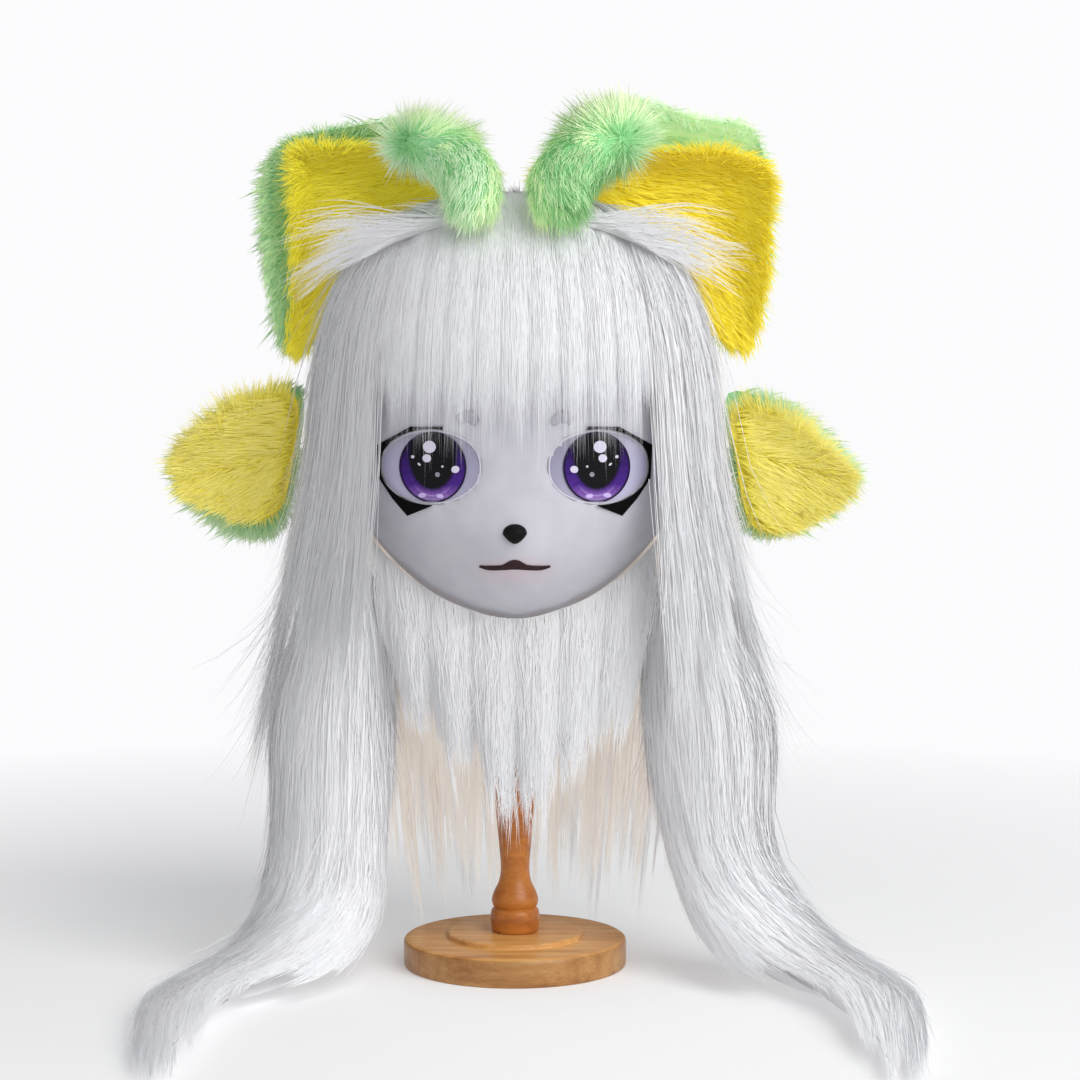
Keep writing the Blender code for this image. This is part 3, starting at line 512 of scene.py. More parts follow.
def head_point(azimuth, rise, grow=0.0, crown=0.0, bare=False):
    """Points of the head at an angle over its widest level, grown by a distance."""
    reach = np.cos(rise)
    edge = level_radius(azimuth, grow)
    x = mix(crown * np.sin(azimuth), edge * np.sin(azimuth), reach)
    y = -edge * np.cos(azimuth) * reach
    over = height_share(x, y, grow, TOP_EXPONENT)
    under = height_share(x, y, grow, JAW_EXPONENT)
    up = rise >= 0
    z = np.where(up, WIDEST_Z + (HEAD_TOP_Z - WIDEST_Z + grow) * over,
                 WIDEST_Z - (WIDEST_Z - CHIN_Z + grow) * under)
    jaw = JAW_FORWARD * under**2 * np.clip(-y / 0.05, 0, 1)
    y = y - np.where(up, 0.0, jaw)
    if bare:
        y = y - np.where(y < 0, muzzle(x, z), 0.0)
    return np.stack(np.broadcast_arrays(x, y, z), axis=-1)


def face_y(x, z, grow=0.0):
    """Front of the head at x, z, or of the head grown by a distance."""
    over = z > WIDEST_Z
    height = np.where(over, HEAD_TOP_Z - WIDEST_Z, WIDEST_Z - CHIN_Z) + grow
    exponent = np.where(over, TOP_EXPONENT, JAW_EXPONENT)
    share = np.abs(z - WIDEST_Z) / height
    outline = (np.abs(x) / (HEAD_HALF_WIDTH + grow)) ** exponent + share**exponent
    inside = np.maximum(0.0, 1 - outline ** (PLAN_EXPONENT / exponent))
    y = -(HEAD_FRONT + grow) * inside ** (1 / PLAN_EXPONENT)
    y = y - np.where(over, 0.0, JAW_FORWARD * share**2 * np.clip(-y / 0.05, 0, 1))
    return y if np.any(grow) else y - muzzle(x, z)


def face_points(x, z, lift):
    """Points over the face at x, z; a lift below 0 is under it."""
    return np.stack((x, face_y(x, z) - lift, z), axis=-1)


def fur_lift(azimuth, run, wall):
    """How far the outside of the long fur is from the head."""
    turn = (np.abs(np.degrees(azimuth)) - SIDE_FROM) / (SIDE_FULL - SIDE_FROM)
    level = mix(FRONT_LIFT, SIDE_LIFT, smooth(turn))
    over = np.minimum(run / HEAD_RUN, 1.0)
    return mix(CROWN_SLACK + wall, level, np.sin(over * math.pi / 2))


# Surfaces of the fur pieces


class HeadFur:
    """Outer side of a curtain of long fur that hangs from the crown."""

    def __init__(self, first, last, locks, hems, jag, spread, wall):
        self.first, self.last = math.radians(first), math.radians(last)
        self.locks, self.hems, self.jag = locks, hems, jag
        self.spread, self.wall = spread, wall

    def __call__(self, u, v, height):
        inside = np.clip(u, 0, 1)
        ridge = np.sin(math.pi * ((inside * self.locks) % 1.0))
        hem = np.interp(inside, (0, 0.5, 1), self.hems) - self.jag * (ridge - 0.5)
        run = v * (HEAD_RUN + WIDEST_Z - hem)
        azimuth = mix(self.first, self.last, u)
        over = np.minimum(run / HEAD_RUN, 1.0)
        grow = fur_lift(azimuth, run, self.wall) + LOCK_RIDGE * ridge * mix(0.3, 1, over)
        grow = np.maximum(grow + height, SHEET_FLOOR)
        points = head_point(azimuth, math.pi / 2 * (1 - over), grow, CROWN_HALF_LINE)
        drop = np.maximum(0.0, run - HEAD_RUN)
        side = np.sin(azimuth) ** 2 if self.spread > 0 else 1.0
        points[..., 0] *= 1 + self.spread * drop * side
        points[..., 2] -= drop
        return points


class Fall:
    """A thick fall of long fur; u goes round it, 0 to pi over the front from -X to +X."""

    def __init__(self, stations):
        self.rows = np.array(stations)
        self.outer = np.sign(self.rows[0, 0])
        self.thickest = self.rows[:, 4].max()

    def __call__(self, u, v, height):
        across = -np.cos(u)
        inner = np.clip((0.35 - across * self.outer) / 1.1, 0, 1)
        ridge = np.sin(math.pi * (((1 + across) / 2 * TAIL_LOCKS) % 1.0))
        t = v * (mix(1.0, TAIL_INNER_END, inner) - TAIL_JAG * (1 - ridge))
        t = np.where(t > 1, 1 + TAIL_SLACK * np.tanh((t - 1) / TAIL_SLACK), t)
        row = curve_rows(self.rows, t)
        centre, half, wall = row[..., :3], row[..., 3:4], row[..., 4:5]
        centre = centre + (self.rows[-1, :3] - self.rows[-2, :3]) * 8 * np.maximum(t - 1, 0)[..., None]
        ahead = curve_rows(self.rows, np.minimum(1, t + 0.02))[..., :3]
        back = curve_rows(self.rows, np.minimum(0.98, t) - 0.02)[..., :3]
        along = unit(ahead - back)
        flat = unit(np.stack((-along[..., 1], along[..., 0], 0 * t), -1) + (1e-6, 0, 0))
        flat = flat * np.where(flat[..., :1] < 0, -1, 1)
        side = unit(mix(np.array((1.0, 0, 0)), flat, 1 - np.abs(along[..., 2:])))
        out = unit(np.cross(along, side))
        front = np.sin(u)[..., None]
        bulge = (TAIL_RIDGE * ridge[..., None] + 0.010 * front**2) * wall / self.thickest
        depth = np.where(front > 0, mix(-0.35 * wall, bulge, np.maximum(front, 0) ** 0.7),
                         -0.35 * wall + 0.6 * wall * front)
        height = np.asarray(height)[..., None]
        return centre + side * across[..., None] * (half + height) + out * (depth + height * front)


def ruff(u, v, height):
    """Outer side of the white ruff under the chin."""
    across = 2 * u - 1
    y = -0.080 + 0.028 * across**2
    ridge = np.sin(math.pi * ((np.clip(u, 0, 1) * RUFF_LOCKS) % 1.0))
    hem = RUFF_TIP_Z + RUFF_RISE * np.abs(across - 0.06) + RUFF_JAG * (1 - ridge)
    x = (RUFF_HALF_WIDTH + RUFF_FLARE) * across
    jaw = np.minimum(height_share(x, y + 0.02, 0.0, JAW_EXPONENT), 1.0)
    top = WIDEST_Z - (WIDEST_Z - CHIN_Z) * jaw - 0.003
    y = y - 0.006 * ridge - 0.010 * np.sin(math.pi * np.clip(v, 0, 1)) - height
    return np.stack(np.broadcast_arrays(x * mix(1.0, 0.92, v), y, mix(top, hem, v)), axis=-1)


class Pad:
    """A cupped pad seen from the front: u goes round its outline, v from middle to edge."""

    def __init__(self, outline, middle, front_y, cup, share=1.0, back=0.0):
        self.outline, self.middle = np.array(outline), np.array(middle)
        self.front_y, self.cup, self.share, self.back = front_y, cup, share, back

    def __call__(self, u, v, height=0.0):
        edge = curve_rows(self.outline, u, closed=True)
        x, z = np.moveaxis(mix(self.middle, edge, (v * self.share)[..., None]), -1, 0)
        y = self.front_y + self.cup * (1 - (v * self.share) ** 2) + self.back
        y = y + height * (1 if self.back else -1)
        return np.stack(np.broadcast_arrays(x, y, z), axis=-1)

    def normal(self, u, v):
        step = 1e-3
        point = self(u, v)
        n = unit(np.cross(self(u + step, v) - point, self(u, v - step) - point))
        want = 1 if self.back else -1
        return n * np.where(n[..., 1:2] * want < 0, -1, 1)


class Roll:
    """A rolled rim round a path; u goes round it, v along it, with closed ends."""

    def __init__(self, stations):
        self.rows = np.array(stations)

    def along(self, v):
        ahead = curve_rows(self.rows, np.minimum(1, v + 0.02))
        back = curve_rows(self.rows, np.maximum(0, v - 0.02))
        return unit((ahead - back)[..., :3])

    def __call__(self, u, v, height=0.0):
        row, along = curve_rows(self.rows, v), self.along(v)
        first = unit(np.cross(along, (1.0, 0, 0)))
        second = np.cross(along, first)
        end = np.minimum(v / 0.10, (1 - v) / 0.10)
        radius = row[..., 3] * np.sqrt(np.clip(1 - (1 - np.clip(end, 0, 1)) ** 2, 0, 1)) + height
        way = first * np.cos(u)[..., None] + second * np.sin(u)[..., None]
        return row[..., :3] + way * radius[..., None]


# Materials


def colour(value):
    """A linear colour, given as such, as six hex digits or as one number for a grey."""
    if isinstance(value, float):
        return (value,) * 3
    if isinstance(value, str):
        parts = [int(value[k:k + 2], 16) / 255 for k in (0, 2, 4)]
        return tuple(v / 12.92 if v < 0.04 else ((v + 0.055) / 1.055) ** 2.4 for v in parts)
    return value


class Nodes:
    """The nodes of a material or a world, added one by one."""

    def __init__(self, owner):
        owner.use_nodes = True
        self.tree = owner.node_tree
        self.tree.nodes.clear()

    def put(self, socket, value):
        if isinstance(value, bpy.types.NodeSocket):
            self.tree.links.new(value, socket)
        elif socket.type == "RGBA":
            socket.default_value = (*colour(value), 1.0)
        else:
            socket.default_value = value

    def add(self, kind, inputs, output=0, **settings):
        """Adds a node with values or links at its inputs, and returns one of its outputs."""
        node = self.tree.nodes.new("ShaderNode" + kind)
        for key, value in settings.items():
            setattr(node, key, value)
        for key, value in inputs.items():
            self.put(node.inputs[key], value)
        return node.outputs[output]

    def end(self, kind, shader):
        self.put(self.tree.nodes.new("ShaderNodeOutput" + kind).inputs["Surface"], shader)

    def strand_uv(self):
        """Sockets of the strand UV: across, along, and both together."""
        uv = self.add("UVMap", {}, uv_map="strand")
        across = self.add("SeparateXYZ", {"Vector": uv}, "X")
        return across, across.node.outputs["Y"], uv

    def ramp(self, fac, *stops):
        output = self.add("ValToRGB", {"Fac": fac}, "Color")
        elements = output.node.color_ramp.elements
        while len(elements) < len(stops):
            elements.new(0.5)
        for element, (place, value) in zip(elements, stops):
            element.position = place
            element.color = (*colour(value), 1.0)
        return output

    def mix(self, fac, first, second, kind="MIX"):
        """Mixes colours; 6, 7 and 2 are the node's sockets for them."""
        return self.add("Mix", {0: fac, 6: first, 7: second}, 2, data_type="RGBA", blend_type=kind)

    def math(self, kind, first, second=0.0):
        return self.add("Math", {0: first, 1: second}, operation=kind)

    def noise(self, scale, detail=2.0, stretch=(1.0, 1.0, 1.0), rough=0.5, vector=None):
        if vector is None:
            vector = self.add("TexCoord", {}, "Object")
        sized = self.add("Mapping", {"Vector": vector, "Scale": stretch})
        return self.add("TexNoise", {"Vector": sized, "Scale": scale, "Detail": detail,
                                     "Roughness": rough}, "Fac")

    def distance(self, centre, radii):
        """Distance in the object's own space from a point, in parts of the radii."""
        sized = self.add("Mapping", {"Vector": self.add("TexCoord", {}, "Object"),
                                     "Scale": [1 / r for r in radii],
                                     "Location": [-c / r for c, r in zip(centre, radii)]})
        return self.add("VectorMath", {0: sized}, "Value", operation="LENGTH")


class Paint(Nodes):
    """A material with one shader."""

    def __init__(self, name):
        self.material = bpy.data.materials.new(name)
        super().__init__(self.material)
        surface = self.add("BsdfPrincipled", {})
        self.shader = surface.node
        self.end("Material", surface)

    def finish(self, bump=None, **values):
        """Sets the shader's inputs; bump is a height, its strength and its distance."""
        if bump:
            values["Normal"] = self.add("Bump", dict(zip(("Height", "Strength", "Distance"), bump)))
        for name, value in values.items():
            self.put(self.shader.inputs[name.replace("_", " ")], value)
        return self.material


def fur_paint(name, root, middle, tip, spread, glow):
    """Strands that go from the root's colour to the tip's, each a little its own.

    A little glow stands in for the light that scatters through real fur.
    """
    paint = Paint(name)
    across, along, _ = paint.strand_uv()
    shade = paint.mix(1.0, paint.ramp(along, (0.0, root), (0.45, middle), (1.0, tip)),
                      paint.ramp(across, (0.0, 1 - spread), (1.0, 1.0)), "MULTIPLY")
    return paint.finish(Base_Color=shade, Roughness=0.75, Specular_IOR_Level=0.08,
                        Sheen_Weight=0.15, Sheen_Roughness=0.4, Emission_Color=shade,
                        Emission_Strength=glow)


def backing_paint(name, dark, light, glow):
    """Dense fur under the strands: fine streaks along it, in colour and in relief."""
    paint = Paint(name)
    _, _, uv = paint.strand_uv()
    fine = paint.noise(1.0, 3.0, (1500.0, 28.0, 1.0), 0.6, uv)
    broad = paint.noise(1.0, 2.0, (160.0, 9.0, 1.0), 0.5, uv)
    streaks = paint.math("ADD", paint.math("MULTIPLY", fine, 0.6), paint.math("MULTIPLY", broad, 0.4))
    shade = paint.ramp(streaks, (0.34, dark), (0.62, light))
    # The glow lifts the shade in the gaps between the strands: painted light.
    return paint.finish((streaks, 0.25, 0.0010), Base_Color=shade, Roughness=0.8,
                        Specular_IOR_Level=0.15, Emission_Color=shade, Emission_Strength=glow)


def pile_paint(name, light, dark, blush=None):
    """Short dense pile: matt, faintly mottled, with a fine bump, and a blush at the mouth."""
    paint = Paint(name)
    tint = paint.ramp(paint.noise(60.0, 3.0), (0.35, dark), (0.65, light))
    if blush:
        near = paint.ramp(paint.distance((0.0, -0.135, 0.317), (0.050, 0.060, 0.016)),
                          (0.35, 1.0), (1.0, 0.0))
        tint = paint.mix(paint.math("MULTIPLY", near, 0.5), tint, blush)
    return paint.finish((paint.noise(1500.0), 0.22, 0.0005), Base_Color=tint, Roughness=0.9,
                        Specular_IOR_Level=0.15, Sheen_Weight=0.2, Sheen_Roughness=0.5)


def wood_paint(name, tint):
    """Varnished wood with its grain along X, under a tint."""
    paint = Paint(name)
    grain = paint.noise(9.0, 6.0, (1.0, 8.0, 8.0), 0.62)
    fine = paint.noise(50.0, 8.0, (1.0, 16.0, 16.0), 0.65)
    brown = paint.ramp(grain, (0.28, "965a24"), (0.50, "ba7e3c"), (0.74, "cc9650"))
    dark = tuple(c * t for c, t in zip((0.80, 0.76, 0.70), tint))
    streaks = paint.ramp(fine, (0.35, dark), (0.65, tint))
    return paint.finish((fine, 0.06, 0.0005), Base_Color=paint.mix(1.0, brown, streaks, "MULTIPLY"),
                        Roughness=0.42, Specular_IOR_Level=0.35, Coat_Weight=0.2,
                        Coat_Roughness=0.2)


def felt_paint(name, light, dark, roughness=0.8, specular=0.2):
    paint = Paint(name)
    tint = paint.ramp(paint.noise(400.0, 3.0), (0.3, dark), (0.7, light))
    return paint.finish((paint.noise(2600.0), 0.3, 0.0003), Base_Color=tint, Roughness=roughness,
                        Specular_IOR_Level=specular)


def print_paint(name, ink):
    """Smooth printed ink or plastic, with the faint unevenness of a print."""
    paint = Paint(name)
    dark = tuple(0.93 * value for value in colour(ink))
    return paint.finish(Base_Color=paint.ramp(paint.noise(500.0), (0.35, dark), (0.65, ink)),
                        Roughness=0.4, Specular_IOR_Level=0.35)


def sclera_paint(name):
    """Lilac-white, shaded towards the upper lid and the nose."""
    paint = Paint(name)
    _, along, _ = paint.strand_uv()
    down = paint.ramp(along, (0.0, "c6c2dc"), (0.55, "bab7d2"), (0.95, "a6a2b2"))
    outwards = paint.distance((0.0, 0.0, EYE_Z), (0.1, 10.0, 10.0))
    down = paint.mix(1.0, down, paint.ramp(outwards, (0.26, 0.60), (0.85, 1.0)), "MULTIPLY")
    return paint.finish(Base_Color=down, Roughness=0.5, Specular_IOR_Level=0.2)


def iris_paint(name):
    """A purple iris from its own UV: dark above and within, lilac below, a dark rim."""
    paint = Paint(name)
    across, along, _ = paint.strand_uv()
    x = paint.math("SUBTRACT", across, 0.5)
    z = paint.math("SUBTRACT", along, 0.5)

    def reach(centre_z, across_radius, up_radius):
        """Distance from a point of the iris's upright axis, in parts of the radii."""
        over = paint.math("DIVIDE", x, across_radius)
        up = paint.math("DIVIDE", paint.math("SUBTRACT", z, centre_z), up_radius)
        return paint.math("SQRT", paint.math("ADD", paint.math("MULTIPLY", over, over),
                                             paint.math("MULTIPLY", up, up)))

    angle = paint.add("CombineXYZ", {"X": paint.math("ARCTAN2", x, z)})
    spokes = paint.ramp(paint.noise(1.0, 2.0, (7.0, 3.0, 1.0), 0.5, angle), (0.35, 0.70), (0.65, 1.0))
    down = paint.ramp(along, (0.03, "a58ac4"), (0.13, "7d55ab"), (0.26, "4c2788"),
                      (0.55, "391c6c"), (0.85, "1c1030"))
    body = paint.mix(1.0, down, spokes, "MULTIPLY")
    crescent = paint.ramp(reach(-0.06, 0.34, 0.35), (0.90, 0.0), (1.0, 1.0), (1.16, 1.0), (1.30, 0.0))
    low = paint.ramp(along, (0.10, 0.60), (0.26, 0.0))
    body = paint.mix(paint.math("MULTIPLY", crescent, low), body, "c3a4e6")
    body = paint.mix(paint.ramp(reach(0.15, 0.38, 0.51), (0.86, 1.0), (1.03, 0.0)), body, "0e0c10")
    body = paint.mix(paint.ramp(reach(0.0, 0.5, 0.5), (0.92, 0.0), (0.97, 1.0)), body, "180c2a")
    return paint.finish(Base_Color=body, Roughness=0.4, Specular_IOR_Level=0.12)


# Colours go from root to tip in fur, from dark to light in backing, and from light to dark
# in pile and felt. Then come a fur's spread and the glow.
WHITE_FUR = fur_paint("white_fur", "dcdbdb", "e5e5e7", "ecedef", 0.06, 0.07)
WHITE_BACKING = backing_paint("white_fur_backing", "dadadc", "e6e6e8", 0.12)
# The back hair and the falls' lower parts, which the pale floor lights too.
LIT_FUR = fur_paint("white_fur_lit", "e2e2e2", "ebebed", "f1f2f4", 0.05, 0.13)
LIT_BACKING = backing_paint("white_fur_lit_backing", "e0e0e2", "ebebed", 0.18)
# Cream for the back hair's inner side: partly the lining's own warm colour, partly painted warm shade
# inside the curtain.
CREAM_FUR = fur_paint("cream_fur", "dbd4cb", "ebe6df", "f6f4f0", 0.08, 0.28)
CREAM_BACKING = backing_paint("cream_fur_backing", "d5cdc3", "e6e0d8", 0.25)
GREEN_FUR = fur_paint("green_fur", "86cb88", "b2e2a6", "e4f3c8", 0.16, 0.12)
# A lighter, more glowing copy of the green for the left roll, whose side lies in shade: painted light.
GREEN_LIT_ROLL = fur_paint("green_fur_mild", "a0dba4", "c8ecc2", "eef6da", 0.14, 0.18)
# A lighter, more glowing copy of the green for the right ear's back, where the band along the top lies
# in shade: painted light.
GREEN_LIT_BACK = fur_paint("green_fur_light", "a6dd9e", "caefba", "eff8d8", 0.12, 0.28)
GREEN_DEEP = fur_paint("green_fur_deep", "74c27c", "9ad994", "c4ecb0", 0.16, 0.16)
PALE_FUR = fur_paint("pale_fur", "9edb9a", "cdeab0", "f4f3d0", 0.10, 0.28)
GREEN_BACKING = backing_paint("green_fur_backing", "79c07c", "9cd69a", 0.12)
# Its backing, lighter and glowing more in the same way: painted light.
GREEN_LIT_BACK_BACKING = backing_paint("green_fur_light_backing", "aadcb0", "ccecc8", 0.20)
YELLOW_LEFT = fur_paint("yellow_fur", "d9cf3a", "eee232", "f3ea62", 0.14, 0.13)
# The right ear's yellow is a little more orange, its own colour; it is also brighter with more glow,
# which is painted light on the better lit side.
YELLOW_RIGHT = fur_paint("yellow_fur_bright", "e6cc28", "f4de2c", "faee62", 0.14, 0.15)
YELLOW_SIDE = fur_paint("yellow_fur_side", "cfc045", "efe154", "f8f09a", 0.18, 0.12)
YELLOW_BACKING = backing_paint("yellow_fur_backing", "d2c034", "e8d63c", 0.14)
WHITE_PILE = pile_paint("white_pile", "c4c3ca", "bebdc5", "cdb6bd")
INSIDE_PILE = pile_paint("inside_cloth", "c9c7c3", "bcbab6")
WOOD = wood_paint("wood", (0.96, 1.09, 1.56))
# A paler copy of the wood for the base's top, which faces the light from above: painted light.
WOOD_TOP_LIT = wood_paint("wood_top_lit", (1.48, 1.70, 2.20))
WOOD_POST = wood_paint("wood_post", (1.05, 0.80, 0.52))
BLACK_FELT = felt_paint("black_felt", 0.003, 0.005, 0.9, 0.06)
NOSE_BLACK = felt_paint("nose_black", 0.003, 0.005, 0.6, 0.12)
MOUTH_BROWN = felt_paint("mouth_brown", "3a2628", "2c1b1d")
BROW_GREY = felt_paint("brow_grey", "a9a7b2", "9c9aa6")
SCLERA = sclera_paint("eye_white")
EYE_EDGE = print_paint("eye_edge", "cfccd8")
IRIS = iris_paint("eye_purple")
CATCHLIGHT = print_paint("catchlight", "d3cde0")
DIM_LIGHT = print_paint("catchlight_dim", "8d8796")
PALE_GLOW = print_paint("iris_glow", "c9b4ea")


# Long fur


CROWN = (0, 0, 0.35)
RUFF_BEHIND = (0, 0.2, 0.25)


def bangs():
    """The curtain over the forehead, with single hairs before the eyes and tufts at the crown."""
    surface = HeadFur(-BANGS_EDGE, BANGS_EDGE, 9, (0.421, 0.421, 0.421), 0.006, 0.0, 0.006)
    fur = LongFur(surface, (0.190, 0.226), 11)
    across = (-0.07, 1.07)
    fur.sheet(across, (0.0, 0.83), -0.004, CROWN, 130, 60, 0.05)
    fur.strands(1250, 9, (0.09, 0.19), 0.5, 0.003, across, (0.0, 0.97), sigma=0.0026, gather=0.35,
                sway=0.0016, stray=0.10, fringe=0.022, half_width=0.00033, tone=0.6)
    fur.strands(380, 2, (0.06, 0.12), 1.0, 0.003, (0.02, 0.98), (0.0, 1.03), sigma=0.0024,
                gather=0.1, sway=0.003, stray=0.3, fringe=0.035, steps=4, half_width=0.00016,
                tone=0.7)
    fur.strands(150, 6, (0.03, 0.06), 0.0, 0.004, (0.15, 0.85), (0.0, 0.24), sigma=0.003,
                gather=0.3, sway=0.004, stray=0.3, flare=0.004, steps=6, half_width=0.0003,
                tone=0.7)
    fur.settle("bangs")


def side_locks():
    """The hair between bangs and ears, with long wisps at its outer half."""
    for side, suffix in SIDES:
        hems = (0.330, 0.295, 0.235)[::-side]
        first, last = sorted((side * BANGS_EDGE, side * LOCKS_EDGE))
        surface = HeadFur(first, last, 5, hems, 0.035, 1.10, 0.0085)
        fur = LongFur(surface, (0.185, 0.350), 12 + side)
        across = (-0.02, 0.925) if side < 0 else (0.075, 1.02)
        outside = (0.10, 0.50) if side < 0 else (0.50, 0.90)
        fur.sheet(across, (0.0, 0.84), -0.0045, CROWN, 110, 70, 0.10)
        fur.strands(800, 10, (0.13, 0.25), 0.42, 0.0026, across, gather=0.4, sway=0.004,
                    lock_pull=0.15, locks=10, flare=0.010, fringe=0.06)
        fur.strands(110, 7, (0.10, 0.16), 1.0, 0.003, outside, (0.0, 1.33), sigma=0.0045,
                    gather=0.6, sway=0.008, stray=0.3, flare=0.020, fringe=0.07, steps=6,
                    half_width=0.00028, tone=0.6)
        fur.settle(f"side_lock_{suffix}")


def hair_back():
    """The long hair behind, with cream fur on its inner side, whose warm tint is partly painted shade.
    """
    surface = HeadFur(LOCKS_EDGE, 360 - LOCKS_EDGE, 10, (0.075, 0.050, 0.085), 0.040, -0.72, 0.012)
    fur = LongFur(surface, (0.340, 0.590), 14)
    fur.sheet((0.0, 1.0), (0.0, 0.93), -0.004, CROWN, 110, 90, 0.06)
    fur.sheet((0.02, 0.98), (0.35, 0.90), -0.012, CROWN, 90, 40, 0.06, slot=3)
    # The step down from the back hair to the bangs at the crown.
    u, height = np.meshgrid(np.linspace(0, 1, 60), (-0.016, -0.004), indexing="ij")
    add_grid(fur.shape, surface(u, 0 * u, height), (0, 0.3, HEAD_TOP_Z), slot=1, u=u * 0.3, v=0.1)
    fur.strands(370, 10, (0.22, 0.40), 0.42, 0.005, (-0.01, 1.01), sigma=0.0034, sway=0.006,
                lock_pull=0.25, locks=20, fringe=0.03, steps=6, half_width=0.00055)
    fur.strands(110, 18, (0.12, 0.26), 0.70, -0.003, (0.03, 0.97), (0.4, 1.0), sway=0.006,
                lock_pull=0.2, locks=20, fringe=0.04, half_width=0.0005, slot=2, level=-0.014)
    fur.settle("hair_back", (LIT_FUR, LIT_BACKING, CREAM_FUR, CREAM_BACKING))


def tails():
    """The two falls, lit more from where they near the floor, with loose tips at their inner side."""
    for side, suffix in SIDES:
        x_row = 3 if side < 0 else 5
        stations = [(side * row[x_row], *row[:2], row[x_row + 1], row[2]) for row in TAILS]
        fur = LongFur(Fall(stations), (0.040, 0.640), 21 if side < 0 else 22)
        front = (-0.20, math.pi + 0.20)
        inner = (math.pi - 0.50, math.pi + 0.10) if side < 0 else (-0.10, 0.50)
        fur.sheet(ROUND, (0.0, 0.60), -0.004, None, 90, 60, 0.04, closed=True)
        fur.sheet(ROUND, (0.54, 0.93), -0.0034, None, 90, 40, 0.06, slot=3, closed=True)
        fur.strands(420, 10, (0.11, 0.22), 0.10, 0.0024, front, (0.0, 0.62), sigma=0.0054,
                    gather=0.25, flare=0.006, fringe=0.06, half_width=0.00048)
        fur.strands(340, 10, (0.11, 0.20), 0.30, 0.002, front, (0.34, 1.0), sigma=0.005,
                    gather=0.3, flare=0.006, fringe=0.04, half_width=0.0005, slot=2)
        fur.strands(50, 8, (0.07, 0.13), 0.0, 0.0024, inner, (0.16, 0.66), sigma=0.004,
                    gather=0.6, sway=0.008, flare=0.014, stray=0.3, half_width=0.00034)
        fur.strands(60, 16, (0.14, 0.24), 0.0, 0.007, (math.pi + 0.3, 2 * math.pi - 0.3),
                    (0.0, 0.62), sigma=0.0035, steps=6, half_width=0.00055)
        fur.settle(f"tail_{suffix}", (WHITE_FUR, WHITE_BACKING, LIT_FUR, LIT_BACKING))


def chest():
    fur = LongFur(ruff, (0.200, 0.150), 31)
    fur.sheet((0.0, 1.0), (0.0, 0.76), -0.0035, RUFF_BEHIND, 100, 40, 0.16)
    fur.sheet((0.0, 1.0), (0.0, 0.72), -0.009, RUFF_BEHIND, 60, 30, 0.10)
    fur.strands(590, 10, (0.06, 0.13), 0.40, 0.0026, (-0.02, 1.02), gather=0.45, lock_pull=0.12,
                locks=14, fringe=0.13, flare=0.004)
    fur.settle("chest_ruff")


def tuft(side, suffix, rng):
    """Thin wisps that lead from the hair over the ear, so loose that the ear shows through."""
    def surface(u, v, height):
        root, tip = (mix(ends[0], ends[1], u[..., None]) for ends in (TUFT_ROOT, TUFT_TIP))
        x, z = np.moveaxis(mix(root, tip, v[..., None]), -1, 0)
        before = mix(root, tip, np.minimum(v, 0)[..., None])
        lift = mix(TUFT_LIFT, TUFT_SUNK, smooth(np.maximum(-v, 0) / 0.4 + 0.3))
        root_y = face_y(before[..., 0], before[..., 1], lift)
        y = mix(root_y - TUFT_WALL, TUFT_Y, np.clip(v, 0.0, 1.0)) - 0.003 - height
        return np.stack((side * x, y, z + 0.004 * np.sin(math.pi * np.clip(v, 0, 1))), axis=-1)

    fur = LongFur(surface, (0.050, 0.100), rng)
    fur.strands(56, 9, (0.060, 0.115), 0.30, 0.004, (0.0, 1.10), (-0.45, 1.0), sigma=0.0044,
                gather=0.75, sway=0.007, stray=0.25, flare=0.005, fringe=0.12, steps=6,
                half_width=0.00022)
    fur.settle(f"ear_tuft_{suffix}", (WHITE_FUR,))


# Ears


